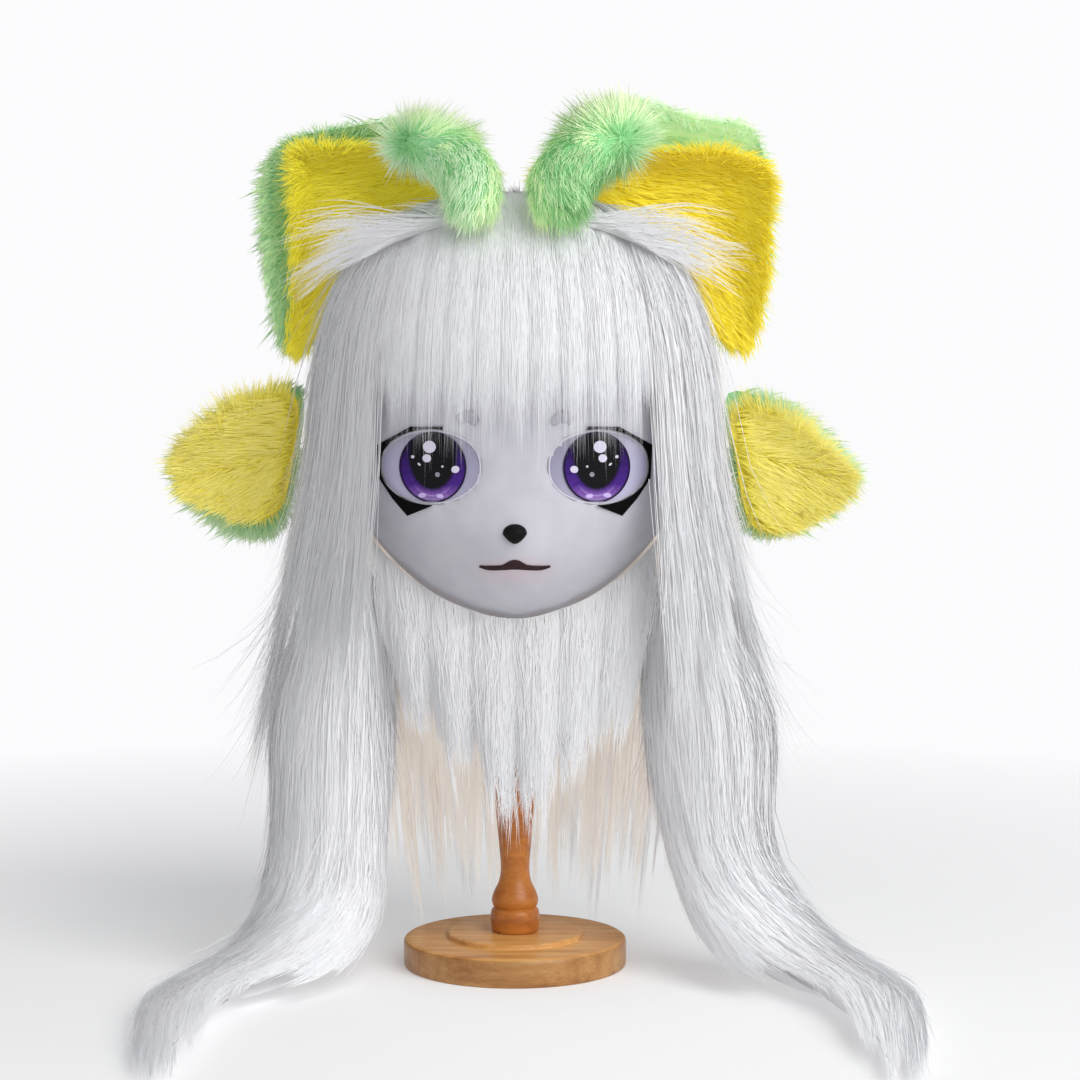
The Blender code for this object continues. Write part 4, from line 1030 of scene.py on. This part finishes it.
class Ear:
    """A padded piece of an ear: backing all round, short fur over it and at its rim."""

    def __init__(self, name, form, wall, flow, rng):
        self.name, self.wall, self.flow, self.rng = name, wall, flow, rng
        self.front, self.back, self.shape = Pad(*form), Pad(*form, back=wall), Shape()

    def cushion(self, sunk, inset, columns=72, rows=(14, 14)):
        """The backing: the pad's front and back, and the edge between them."""
        u = np.linspace(0, 1, columns, endpoint=False)
        v = np.full(columns, inset)
        edge = [pad(u, v, -0.003) for pad in (self.front, self.back)]
        edge.insert(1, mix(*edge, 0.5))
        for pad, height, count in zip((self.front, self.back), sunk, rows):
            across, out = np.meshgrid(u, np.linspace(0.001, inset, count), indexing="ij")
            behind = (pad.middle[0], -1.0 if pad.back else 1.0, pad.middle[1])
            add_grid(self.shape, pad(across, out, height + 0 * out), behind, True, 1, across * 0.5,
                     out * 0.1)
        middle = (self.front.middle[0], 0.0, self.front.middle[1])
        add_grid(self.shape, np.stack(edge, axis=1), middle, True, 1, 0.5, 0.3)

    def fur(self, pad, clumps, reach, v_range, u_range=(0, 1), rise=0.5, **looks):
        """Short fur over one side, lying the way that flow(points) gives."""
        u, v = scatter(pad, self.rng, clumps, u_range, v_range)
        roots, normals = pad(u, v, -0.001), pad.normal(u, v)
        way = self.flow(roots)
        way = unit(way - normals * np.sum(way * normals, axis=-1, keepdims=True) * 0.7)
        add_short_fur(self.shape, roots, normals, way, self.rng, reach, rise, **looks)

    def rim(self, clumps, reach, behind, spans=((0.0, 1.0),), ahead=0.5, inset=0.010, **looks):
        """Fur that stands outwards round the edge; ahead is how far it looks forwards."""
        rng, widths = self.rng, np.array([b - a for a, b in spans])
        chosen = rng.choice(len(spans), clumps, p=widths / widths.sum())
        u = np.array([rng.uniform(*spans[k]) for k in chosen])
        edge = self.front(u, np.ones(clumps))
        outward = unit(edge - self.front(u, np.full(clumps, 0.97)))
        back = np.stack((0 * u, rng.uniform(0.0, self.wall, clumps), 0 * u), -1)
        flow = unit(outward + np.array(behind))
        add_short_fur(self.shape, edge - outward * inset + back, unit(outward - (0, ahead, 0)),
                      flow, rng, reach, **looks)

    def sparse_rim(self, clumps, spans):
        """Sparse fur on the edge where no green shows, laid back so that the edge isn't bare."""
        self.rim(clumps, (0.008, 0.011), (0, 1.6, 0), spans, -1.0, 0.007, sigma=0.0028, mess=0.12,
                 half_width=0.0005)

    def settle(self, paints, slot):
        settle(self.shape, f"{self.name}_fur", paints)


def tucked(outline):
    """An upper ear's outline with its lower side moved in under the hair."""
    low, high = EAR_TUCK_SPAN
    return [(x + EAR_TUCK[0], z + EAR_TUCK[1]) if z < EAR_MIDDLE_Z and low < x < high else (x, z)
            for x, z in outline]


def pulled_in(outline, limit_x, limit_z):
    """An upper ear's outline that stops outwards and up at limits, with a rounded corner."""
    shown = []
    for x, z in outline:
        over_x = max(0.0, (x - EAR_MIDDLE_X) / (limit_x - EAR_MIDDLE_X))
        over_z = max(0.0, (z - EAR_MIDDLE_Z) / (limit_z - EAR_MIDDLE_Z))
        share = 1 / max(1.0, (over_x**4 + over_z**4) ** 0.25)
        shown.append((mix(EAR_MIDDLE_X, x, share) if over_x > 0 else x,
                      mix(EAR_MIDDLE_Z, z, share) if over_z > 0 else z))
    return shown


def ear_back(side, suffix, outline, middle, away, rng):
    """The green back. It shows along the top, and on the left ear along the side too."""
    form = (mirrored(outline, side), middle, EAR_Y, EAR_CUP)
    ear = Ear(f"ear_back_{suffix}", form, EAR_BACK_WALL, away, rng)
    band, edge = ((0.10, 0.66), (0.0, 0.66)) if side < 0 else ((0.10, 0.35), (0.0, 0.34))
    ear.cushion((-0.004, -0.005), 0.97)
    ear.fur(ear.back, 500, (0.014, 0.020), (0.05, 0.92), sigma=0.003, half_width=0.00065)
    ear.fur(ear.front, 1000, (0.010, 0.015), (0.55, 0.95), band, sigma=0.0026, mess=0.12)
    ear.rim(1000, (0.008, 0.012), (0, 0.3, 0), [edge], inset=0.011, sigma=0.0028)
    if side > 0:
        ear.sparse_rim(300, [(0.34, 0.70)])
    # The right ear's back takes the lighter copy of the green: painted light.
    green = (GREEN_FUR, GREEN_BACKING) if side < 0 else (GREEN_LIT_BACK, GREEN_LIT_BACK_BACKING)
    ear.settle(green, "green_fur")


def ear_inner(side, suffix, outline, middle, away, rng):
    """The yellow front."""
    shown = mirrored(pulled_in(outline, *YELLOW_LIMIT[side > 0]), side)
    form = (shown, middle, EAR_Y - EAR_INNER_WALL - PAD_SLACK, EAR_CUP)
    ear = Ear(f"ear_inner_{suffix}", form, EAR_INNER_WALL, away, rng)
    ear.cushion((-0.003, -0.002), 0.98, rows=(14, 6))
    ear.fur(ear.front, 2400, (0.012, 0.019), (0.05, 0.97), sigma=0.0026, mess=0.13,
            half_width=0.00038)
    ear.rim(600, (0.009, 0.014), (0, 0.7, 0), [(0.10, 0.64)], 2.0, 0.006, rise=0.4, sigma=0.0028)
    # The right ear takes the brighter yellow, which is partly painted light.
    ear.settle((YELLOW_LEFT if side < 0 else YELLOW_RIGHT, YELLOW_BACKING), "yellow_fur")


def ear_fold(side, suffix, stations, rng):
    """The green roll: its fur parts at a whorl, pale along the rim, with deeper hairs between."""
    roll, shape = Roll(mirrored(stations, side)), Shape()
    u, v = np.meshgrid(circle(28), np.linspace(0.001, 0.999, 36), indexing="ij")
    add_grid(shape, roll(u, v, -0.007), None, True, 1, u * 0.02, v * 0.1)
    u, v = scatter(roll, rng, 2200, ROUND)
    roots = roll(u, v, -0.008)
    normals = unit(roots - curve_rows(roll.rows, v)[..., :3])
    spiral = (roots - (side * WHORL[0], 0, WHORL[1])) * (1, 0, 1)
    down = unit(np.array((side * 0.15, -0.2, -0.35)) - roll.along(v))
    way = unit(mix(down, unit(spiral + (0, -0.002, 0)), smooth((v - 0.40) / 0.25)[:, None])
               + UP * 0.35 * np.clip(normals[:, 2:], 0, 1))
    rim = np.where(v > 0.45, normals[:, 2] > 0.35, -side * normals[:, 0] > 0.55)
    pale = rim & (rng.random(len(u)) < 0.65)
    at_whorl = np.linalg.norm(spiral, axis=1) < 0.007
    deep = ~pale & (at_whorl | ((side > 0) & (rng.random(len(u)) < 0.35)))
    for chosen, slot in ((~pale & ~deep, 0), (pale, 2), (deep, 3)):
        add_short_fur(shape, roots[chosen], normals[chosen], way[chosen], rng, (0.013, 0.021),
                      0.40, 0.0026, gather=0.20, mess=0.13, slot=slot)
    # The left roll takes the lighter copy of the green: painted light.
    paints = (GREEN_LIT_ROLL if side < 0 else GREEN_FUR, GREEN_BACKING, PALE_FUR, GREEN_DEEP)
    settle(shape, f"ear_fold_{suffix}_fur", paints)


def upper_ears():
    for side, suffix in SIDES:
        rng = np.random.default_rng(40 + side)
        outline = tucked(EAR_LEFT if side < 0 else EAR_RIGHT)
        middle = (side * EAR_MIDDLE_X, EAR_MIDDLE_Z)
        base = np.array((side * 0.05, 0.0, 0.610))

        def away(points):
            """Outwards from the ear's root, and a little down."""
            return unit(unit(points - base) + np.array((0, -0.15, -0.25)))

        ear_back(side, suffix, outline, middle, away, rng)
        ear_inner(side, suffix, outline, middle, away, rng)
        ear_fold(side, suffix, FOLD_LEFT if side < 0 else FOLD_RIGHT, rng)
        tuft(side, suffix, rng)


def side_ear_back(side, suffix, outline, middle, away, rng):
    """The green back, which shows beside the yellow."""
    form = (outline, middle, SIDE_EAR_Y, SIDE_EAR_CUP)
    ear = Ear(f"side_ear_back_{suffix}", form, SIDE_EAR_BACK_WALL, away, rng)
    edge, other = ((0.45, 0.92), (0.0, 0.45)) if side < 0 else ((0.05, 0.45), (0.45, 0.92))
    ear.cushion((-0.003, -0.003), 0.95, 48, (8, 8))
    ear.fur(ear.back, 420, (0.014, 0.020), (0.05, 0.92), sigma=0.003, half_width=0.0006)
    ear.rim(700, (0.008, 0.013), (side * 0.3, 0.1, 0), [edge])
    ear.sparse_rim(220, [other])
    ear.settle((GREEN_FUR, GREEN_BACKING), "green_fur")


def side_ear_front(side, suffix, outline, middle, away, rng):
    """The yellow front, with longer fur along its upper edge."""
    shown = [(x, z + SIDE_EAR_GREEN if side < 0 and z < SIDE_EAR_LOW_Z else
              z - SIDE_EAR_GREEN if side > 0 and z > SIDE_EAR_HIGH_Z else z) for x, z in outline]
    front_y = SIDE_EAR_Y - SIDE_EAR_FRONT_WALL - PAD_SLACK
    form = (shown, middle, front_y, SIDE_EAR_CUP, SIDE_EAR_FRONT_SHARE)
    ear = Ear(f"side_ear_front_{suffix}", form, SIDE_EAR_FRONT_WALL, away, rng)
    ear.cushion((-0.003, -0.002), 0.97, 48, (8, 4))
    ear.fur(ear.front, 1700, (0.014, 0.022), (0.05, 0.90), rise=0.45, sigma=0.0026, gather=0.2,
            mess=0.11, half_width=0.00038)
    ear.rim(400, (0.009, 0.014), (side * 0.4, 0.3, 0))
    ear.rim(260, (0.015, 0.022), (side * 0.3, 0.3, 0), [(0.02, 0.30)], 1.0)
    ear.settle((YELLOW_SIDE, YELLOW_BACKING), "yellow_fur")


def side_ears():
    for side, suffix in SIDES:
        rng = np.random.default_rng(50 + side)
        outline = mirrored(SIDE_EAR_LEFT if side < 0 else SIDE_EAR_RIGHT, side)
        middle = np.mean(outline, axis=0)

        def away(points):
            """Towards the ear's tip, parting at the crease."""
            part = np.sign(points[:, 2] - (0.402 - 0.25 * (np.abs(points[:, 0]) - 0.18)))
            return unit(np.stack((side + 0 * part, -0.1 + 0 * part, 0.30 * part - 0.30), -1))

        side_ear_back(side, suffix, outline, middle, away, rng)
        side_ear_front(side, suffix, outline, middle, away, rng)


# Stand


def turned(profile, sides):
    """Grid of a turned shape from radius and height rows."""
    angle = circle(sides)[:, None]
    radius, height = np.array(profile, float).T
    x = radius * np.cos(angle)
    return np.stack((x, radius * np.sin(angle), np.broadcast_to(height, x.shape)), axis=-1)


def rounded(profile, cuts=6):
    """The rows of a profile with a smooth curve between them."""
    return list(curve_rows(profile, np.linspace(0, 1, (len(profile) - 1) * cuts + 1)))


def edge_rows(radius, z, edge):
    """Rows of a rounded edge at a radius and height."""
    return [(radius - inwards, z - down) for inwards, down in edge]


def stand():
    top = [(0.0, STEP_Z), *edge_rows(STEP_RADIUS, STEP_Z, STEP_EDGE),
           *edge_rows(STEP_RADIUS, BASE_HEIGHT, STEP_FOOT),
           *edge_rows(BASE_RADIUS, BASE_HEIGHT, DISC_EDGE)]
    # The top, painted paler where the light from above falls on it, ends inside the disc's rounded
    # edge.
    rim = 10
    shape = Shape()
    add_grid(shape, turned(top[:rim + 1], 128), BASE_MIDDLE, True)
    side = [*top[rim:], *edge_rows(BASE_RADIUS, 0.0, DISC_FOOT), (0.0, 0.0)]
    add_grid(shape, turned(side, 128), BASE_MIDDLE, True, 1)
    settle(shape, "stand_base_turned", [WOOD_TOP_LIT, WOOD])
    column = [(0.0, COLUMN_TOP_Z), (0.0165, COLUMN_TOP_Z), (0.0175, COLUMN_TOP_Z - 0.001),
              *rounded(WAIST), *rounded(RING)[1:], (0.0, FOOT_Z)]
    shape = Shape()
    add_grid(shape, turned(column, 64), (0, 0, 0.25), True)
    settle(shape, "stand_column_turned", [WOOD_POST])
    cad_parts["stand_dome"].material_slots[0].material = WOOD


# Face


def eye_share(x, z):
    """0 at the middle of the nearer eye, 1 at its outline."""
    across = np.abs(np.abs(x) - EYE_X) / EYE_HALF_WIDTH
    up = np.abs(z - EYE_Z) / EYE_HALF_HEIGHT
    up = np.where(z < EYE_Z, up * (1 + EYE_SAG * across**2), up)
    return (across**2 + up ** (2 / EYE_ROUNDING)) ** 0.5


def shell():
    """The bare head: its outside with sockets sunk in it where the eyes sit, its inside and the neck's
    edge.
    """
    masks, hoods, edges = Shape(), Shape(), []
    for columns, rows, inside in ((128, 72, False), (64, 30, True)):
        azimuth = np.radians(np.linspace(-180, 180, columns + 1))[:, None]
        neck = mix(NECK_RISE_SIDE, NECK_RISE_FRONT, smooth(np.cos(azimuth) / NECK_FRONT_COS))
        rise = mix(math.radians(89.9), neck, np.linspace(0, 1, rows + 1))
        points = head_point(azimuth, rise, bare=True)
        if inside:
            points = points - unit(points - (0, 0, WIDEST_Z)) * HEAD_WALL
        else:
            sunk = smooth((1.03 - eye_share(points[..., 0], points[..., 2])) / 0.06)
            points[..., 1] += SOCKET_DEPTH * sunk * (points[..., 1] < -0.03)
        quads = grid_quads(*points.shape[:2])[:, ::(-1 if inside else 1)]
        flat = points.reshape(-1, 3)
        middle = flat[quads].mean(axis=1)
        masked = (middle[:, 1] < MASK_BACK_Y) & (middle[:, 2] < MASK_TOP_Z)
        for shape, chosen in ((masks, masked), (hoods, ~masked)):
            used, loops = np.unique(quads[chosen], return_inverse=True)
            count = chosen.sum()
            shape.add(flat[used], loops, np.full(count, 4), np.zeros((count * 4, 2)), int(inside))
        edges.append(points[:: columns // 64, -1])
    add_grid(hoods, np.stack(edges, axis=1), (0, 0, 0.5))
    cloths = [WHITE_PILE, INSIDE_PILE]
    settle(masks, "face_pile", cloths, node="face_mask")
    settle(hoods, "hood_cloth", cloths, node="head_hood")


def add_print(shape, x, z, centre, sunk, slot, rings, box=None):
    """A flat printed shape on the face, from its outline; sunk is how far it lies under it."""
    v = np.linspace(0.0, 1.0, rings + 1)
    x, z = mix(centre[0], x[:, None], v), mix(centre[1], z[:, None], v)
    low, high = box or ((x.min(), z.min()), (x.max(), z.max()))
    add_grid(shape, face_points(x, z, -sunk), (centre[0], 1.0, centre[1]), True, slot,
             (x - low[0]) / (high[0] - low[0]), (z - low[1]) / (high[1] - low[1]))


def ellipse(centre, radii, steps, tilt=0.0):
    angle = circle(steps)
    x, z = radii[0] * np.cos(angle), radii[1] * np.sin(angle)
    c, s = math.cos(tilt), math.sin(tilt)
    return centre[0] + x * c - z * s, centre[1] + x * s + z * c


def eye_point(angle, inset):
    """Points of an eye opening, from its middle."""
    x = (EYE_HALF_WIDTH - inset) * np.cos(angle)
    z = (EYE_HALF_HEIGHT - inset) * np.sign(np.sin(angle)) * np.abs(np.sin(angle)) ** EYE_ROUNDING
    return x, np.where(z < 0, z * (1 - EYE_SAG * np.cos(angle) ** 2), z)


def eye_white(side, suffix):
    """The sunk white with a pale edge round it."""
    middle, shape = (side * EYE_X, 1.0, EYE_Z), Shape()
    outer, inner = ([side * EYE_X, EYE_Z] + np.stack(eye_point(circle(96), inset), -1)
                    for inset in (0.0003, 0.0014))
    add_print(shape, *outer.T, middle[::2], EYE_RECESS, 0, 14)
    rim = [face_points(*line.T, 0.0005 - EYE_RECESS) for line in (outer, inner)]
    add_grid(shape, np.stack(rim, axis=1), middle, True, 1)
    settle(shape, f"eye_white_{suffix}_print", [SCLERA, EYE_EDGE])


def iris(side, suffix):
    """The purple iris, cut off at the lower lid, with its printed lights."""
    shape = Shape()
    middle = np.array((side * IRIS_X, EYE_Z))
    radii = np.array((IRIS_HALF_WIDTH, IRIS_HALF_HEIGHT))
    x, z = ellipse(middle, radii, 96)
    z = np.maximum(z, EYE_Z - EYE_HALF_HEIGHT + LID_COVER)
    add_print(shape, x, z, middle, EYE_RECESS - 0.0010, 0, 12, (middle - radii, middle + radii))
    for dx, dz, rx, rz, tilt, slot in IRIS_LIGHTS:
        spot = middle + (-side * dx, dz)
        outline = ellipse(spot, (rx, rz), 28, -side * tilt)
        add_print(shape, *outline, spot, EYE_RECESS - 0.0013, slot, 2)
    inks = [IRIS, CATCHLIGHT, DIM_LIGHT, PALE_GLOW]
    settle(shape, f"iris_{suffix}_print", inks)


def eyelash(side, suffix):
    """Felt round the outer half of an eye, its outer edge cut in straight lines."""
    rows = np.array(LASH, float)
    keys = np.arange(len(rows))
    u = np.linspace(0, len(rows) - 1, 12 * (len(rows) - 1) + 1)[:, None]
    v = np.linspace(0, 1, 9)[None, :]
    angle, outer_x, outer_z = (np.interp(u, keys, rows[:, k]) for k in range(3))
    x, z = eye_point(np.radians(angle), -LASH_SLACK)
    x, z = side * mix(EYE_X + x, outer_x, v), mix(EYE_Z + z, outer_z, v)
    points = face_points(x, z, GAP + LASH_WALL * (1 - np.abs(2 * v - 1) ** 8))
    shape = Shape()
    add_grid(shape, points, (side * EYE_X, 1.0, EYE_Z))
    settle(shape, f"eyelash_{suffix}_felt", [BLACK_FELT])


def face_strip(stations, wall):
    """A strip on the face along stations of x, z and half width, its top softly rounded."""
    line = curve_rows(stations, np.linspace(0, 1, 96))
    way = unit(np.gradient(line[:, :2], axis=0))
    across = np.linspace(-1, 1, 9)
    x = line[:, :1] - way[:, 1:] * line[:, 2:] * across
    z = line[:, 1:2] + way[:, :1] * line[:, 2:] * across
    shape = Shape()
    add_grid(shape, face_points(x, z, GAP + wall * (1 - np.abs(across) ** 4)),
             (line[0, 0], 1.0, line[0, 1]))
    return shape


def eyes():
    for side, suffix in SIDES:
        eye_white(side, suffix)
        iris(side, suffix)
        eyelash(side, suffix)
        brow = face_strip(mirrored(BROW, side), BROW_WALL)
        settle(brow, f"brow_{suffix}_felt", [BROW_GREY])


def nose():
    """A button, narrower below."""
    angle = circle(64)[:, None]
    low = np.maximum(0, -np.sin(angle))
    wide = NOSE_WIDTH / 2 * np.cos(angle) * (1 - 0.34 * low) * (1 + 0.05 * np.sin(angle))
    v = np.linspace(0, 1, 18)
    x, z = wide * v, NOSE_Z + NOSE_HEIGHT / 2 * np.sin(angle) * v
    points = face_points(x, z, NOSE_DEPTH * np.sqrt(np.maximum(0, 1 - v**2.8)) - GAP)
    shape = Shape()
    add_grid(shape, points, (0, 1, NOSE_Z), True)
    settle(shape, "nose_button", [NOSE_BLACK])


def mouth():
    stations = [*mirrored(MOUTH_HALF[::-1], -1), MOUTH_MIDDLE, *MOUTH_HALF]
    settle(face_strip(stations, MOUTH_WALL), "mouth_seam", [MOUTH_BROWN])


# The camera and the stage


def place(name, data, location, turn):
    obj = bpy.data.objects.new(name, data)
    obj.location = location
    obj.rotation_euler = turn
    bpy.context.scene.collection.objects.link(obj)
    return obj


def camera():
    data = bpy.data.cameras.new("camera")
    data.lens = CAMERA_LENS
    data.sensor_width = 36.0
    turn = (math.pi / 2 - CAMERA_PITCH, 0.0, -CAMERA_TURN)
    bpy.context.scene.camera = place("camera", data, CAMERA_PLACE, turn)


def key_light():
    data = bpy.data.lights.new("key", "AREA")
    data.shape = "DISK"
    data.size = KEY_SIZE
    data.energy = KEY_POWER
    towards = Vector(KEY_TARGET) - Vector(KEY_PLACE)
    place("key", data, KEY_PLACE, towards.to_track_quat("-Z", "Y").to_euler())


def studio_world():
    """A soft pale studio, brighter up and to the right, and an even backdrop for the camera."""
    world = bpy.data.worlds.new("studio")
    bpy.context.scene.world = world
    nodes = Nodes(world)
    way = nodes.add("TexCoord", {}, "Generated")
    slope = nodes.add("VectorMath", {0: way, 1: STUDIO_SLOPE}, "Value", operation="DOT_PRODUCT")
    level = nodes.math("ADD", slope, STUDIO_LEVEL)
    light = nodes.add("Background", {"Color": (0.96, 0.97, 1.0), "Strength": level})
    seen = nodes.add("Background", {"Color": BACKDROP})
    by_camera = nodes.add("LightPath", {}, "Is Camera Ray")
    nodes.end("World", nodes.add("MixShader", {"Fac": by_camera, 1: light, 2: seen}))


def floor_paint():
    """Matt near the stand, where it takes the shadow; as bright as the backdrop further off."""
    paint = Paint("floor_paint")
    away = paint.math("MULTIPLY", paint.distance((0.0, -1.0, 0.0), (1.0, 1.0, 1.0)), 0.5)
    return paint.finish(Base_Color=paint.ramp(away, (0.20, 0.80), (0.66, 0.0)), Roughness=0.9,
                        Specular_IOR_Level=0.0, Emission_Strength=1.0,
                        Emission_Color=paint.ramp(away, (0.20, 0.20), (0.66, BACKDROP)))


def stage():
    bpy.ops.mesh.primitive_plane_add(size=14.0, location=(0, 1.0, 0))
    floor = bpy.context.object
    floor.name = "floor"
    floor.data.materials.append(floor_paint())
    studio_world()
    key_light()
    bpy.context.scene.view_settings.view_transform = "Standard"
    bpy.context.scene.view_settings.look = "None"


stand()
shell()
eyes()
nose()
mouth()
bangs()
side_locks()
hair_back()
tails()
chest()
upper_ears()
side_ears()
camera()
stage()
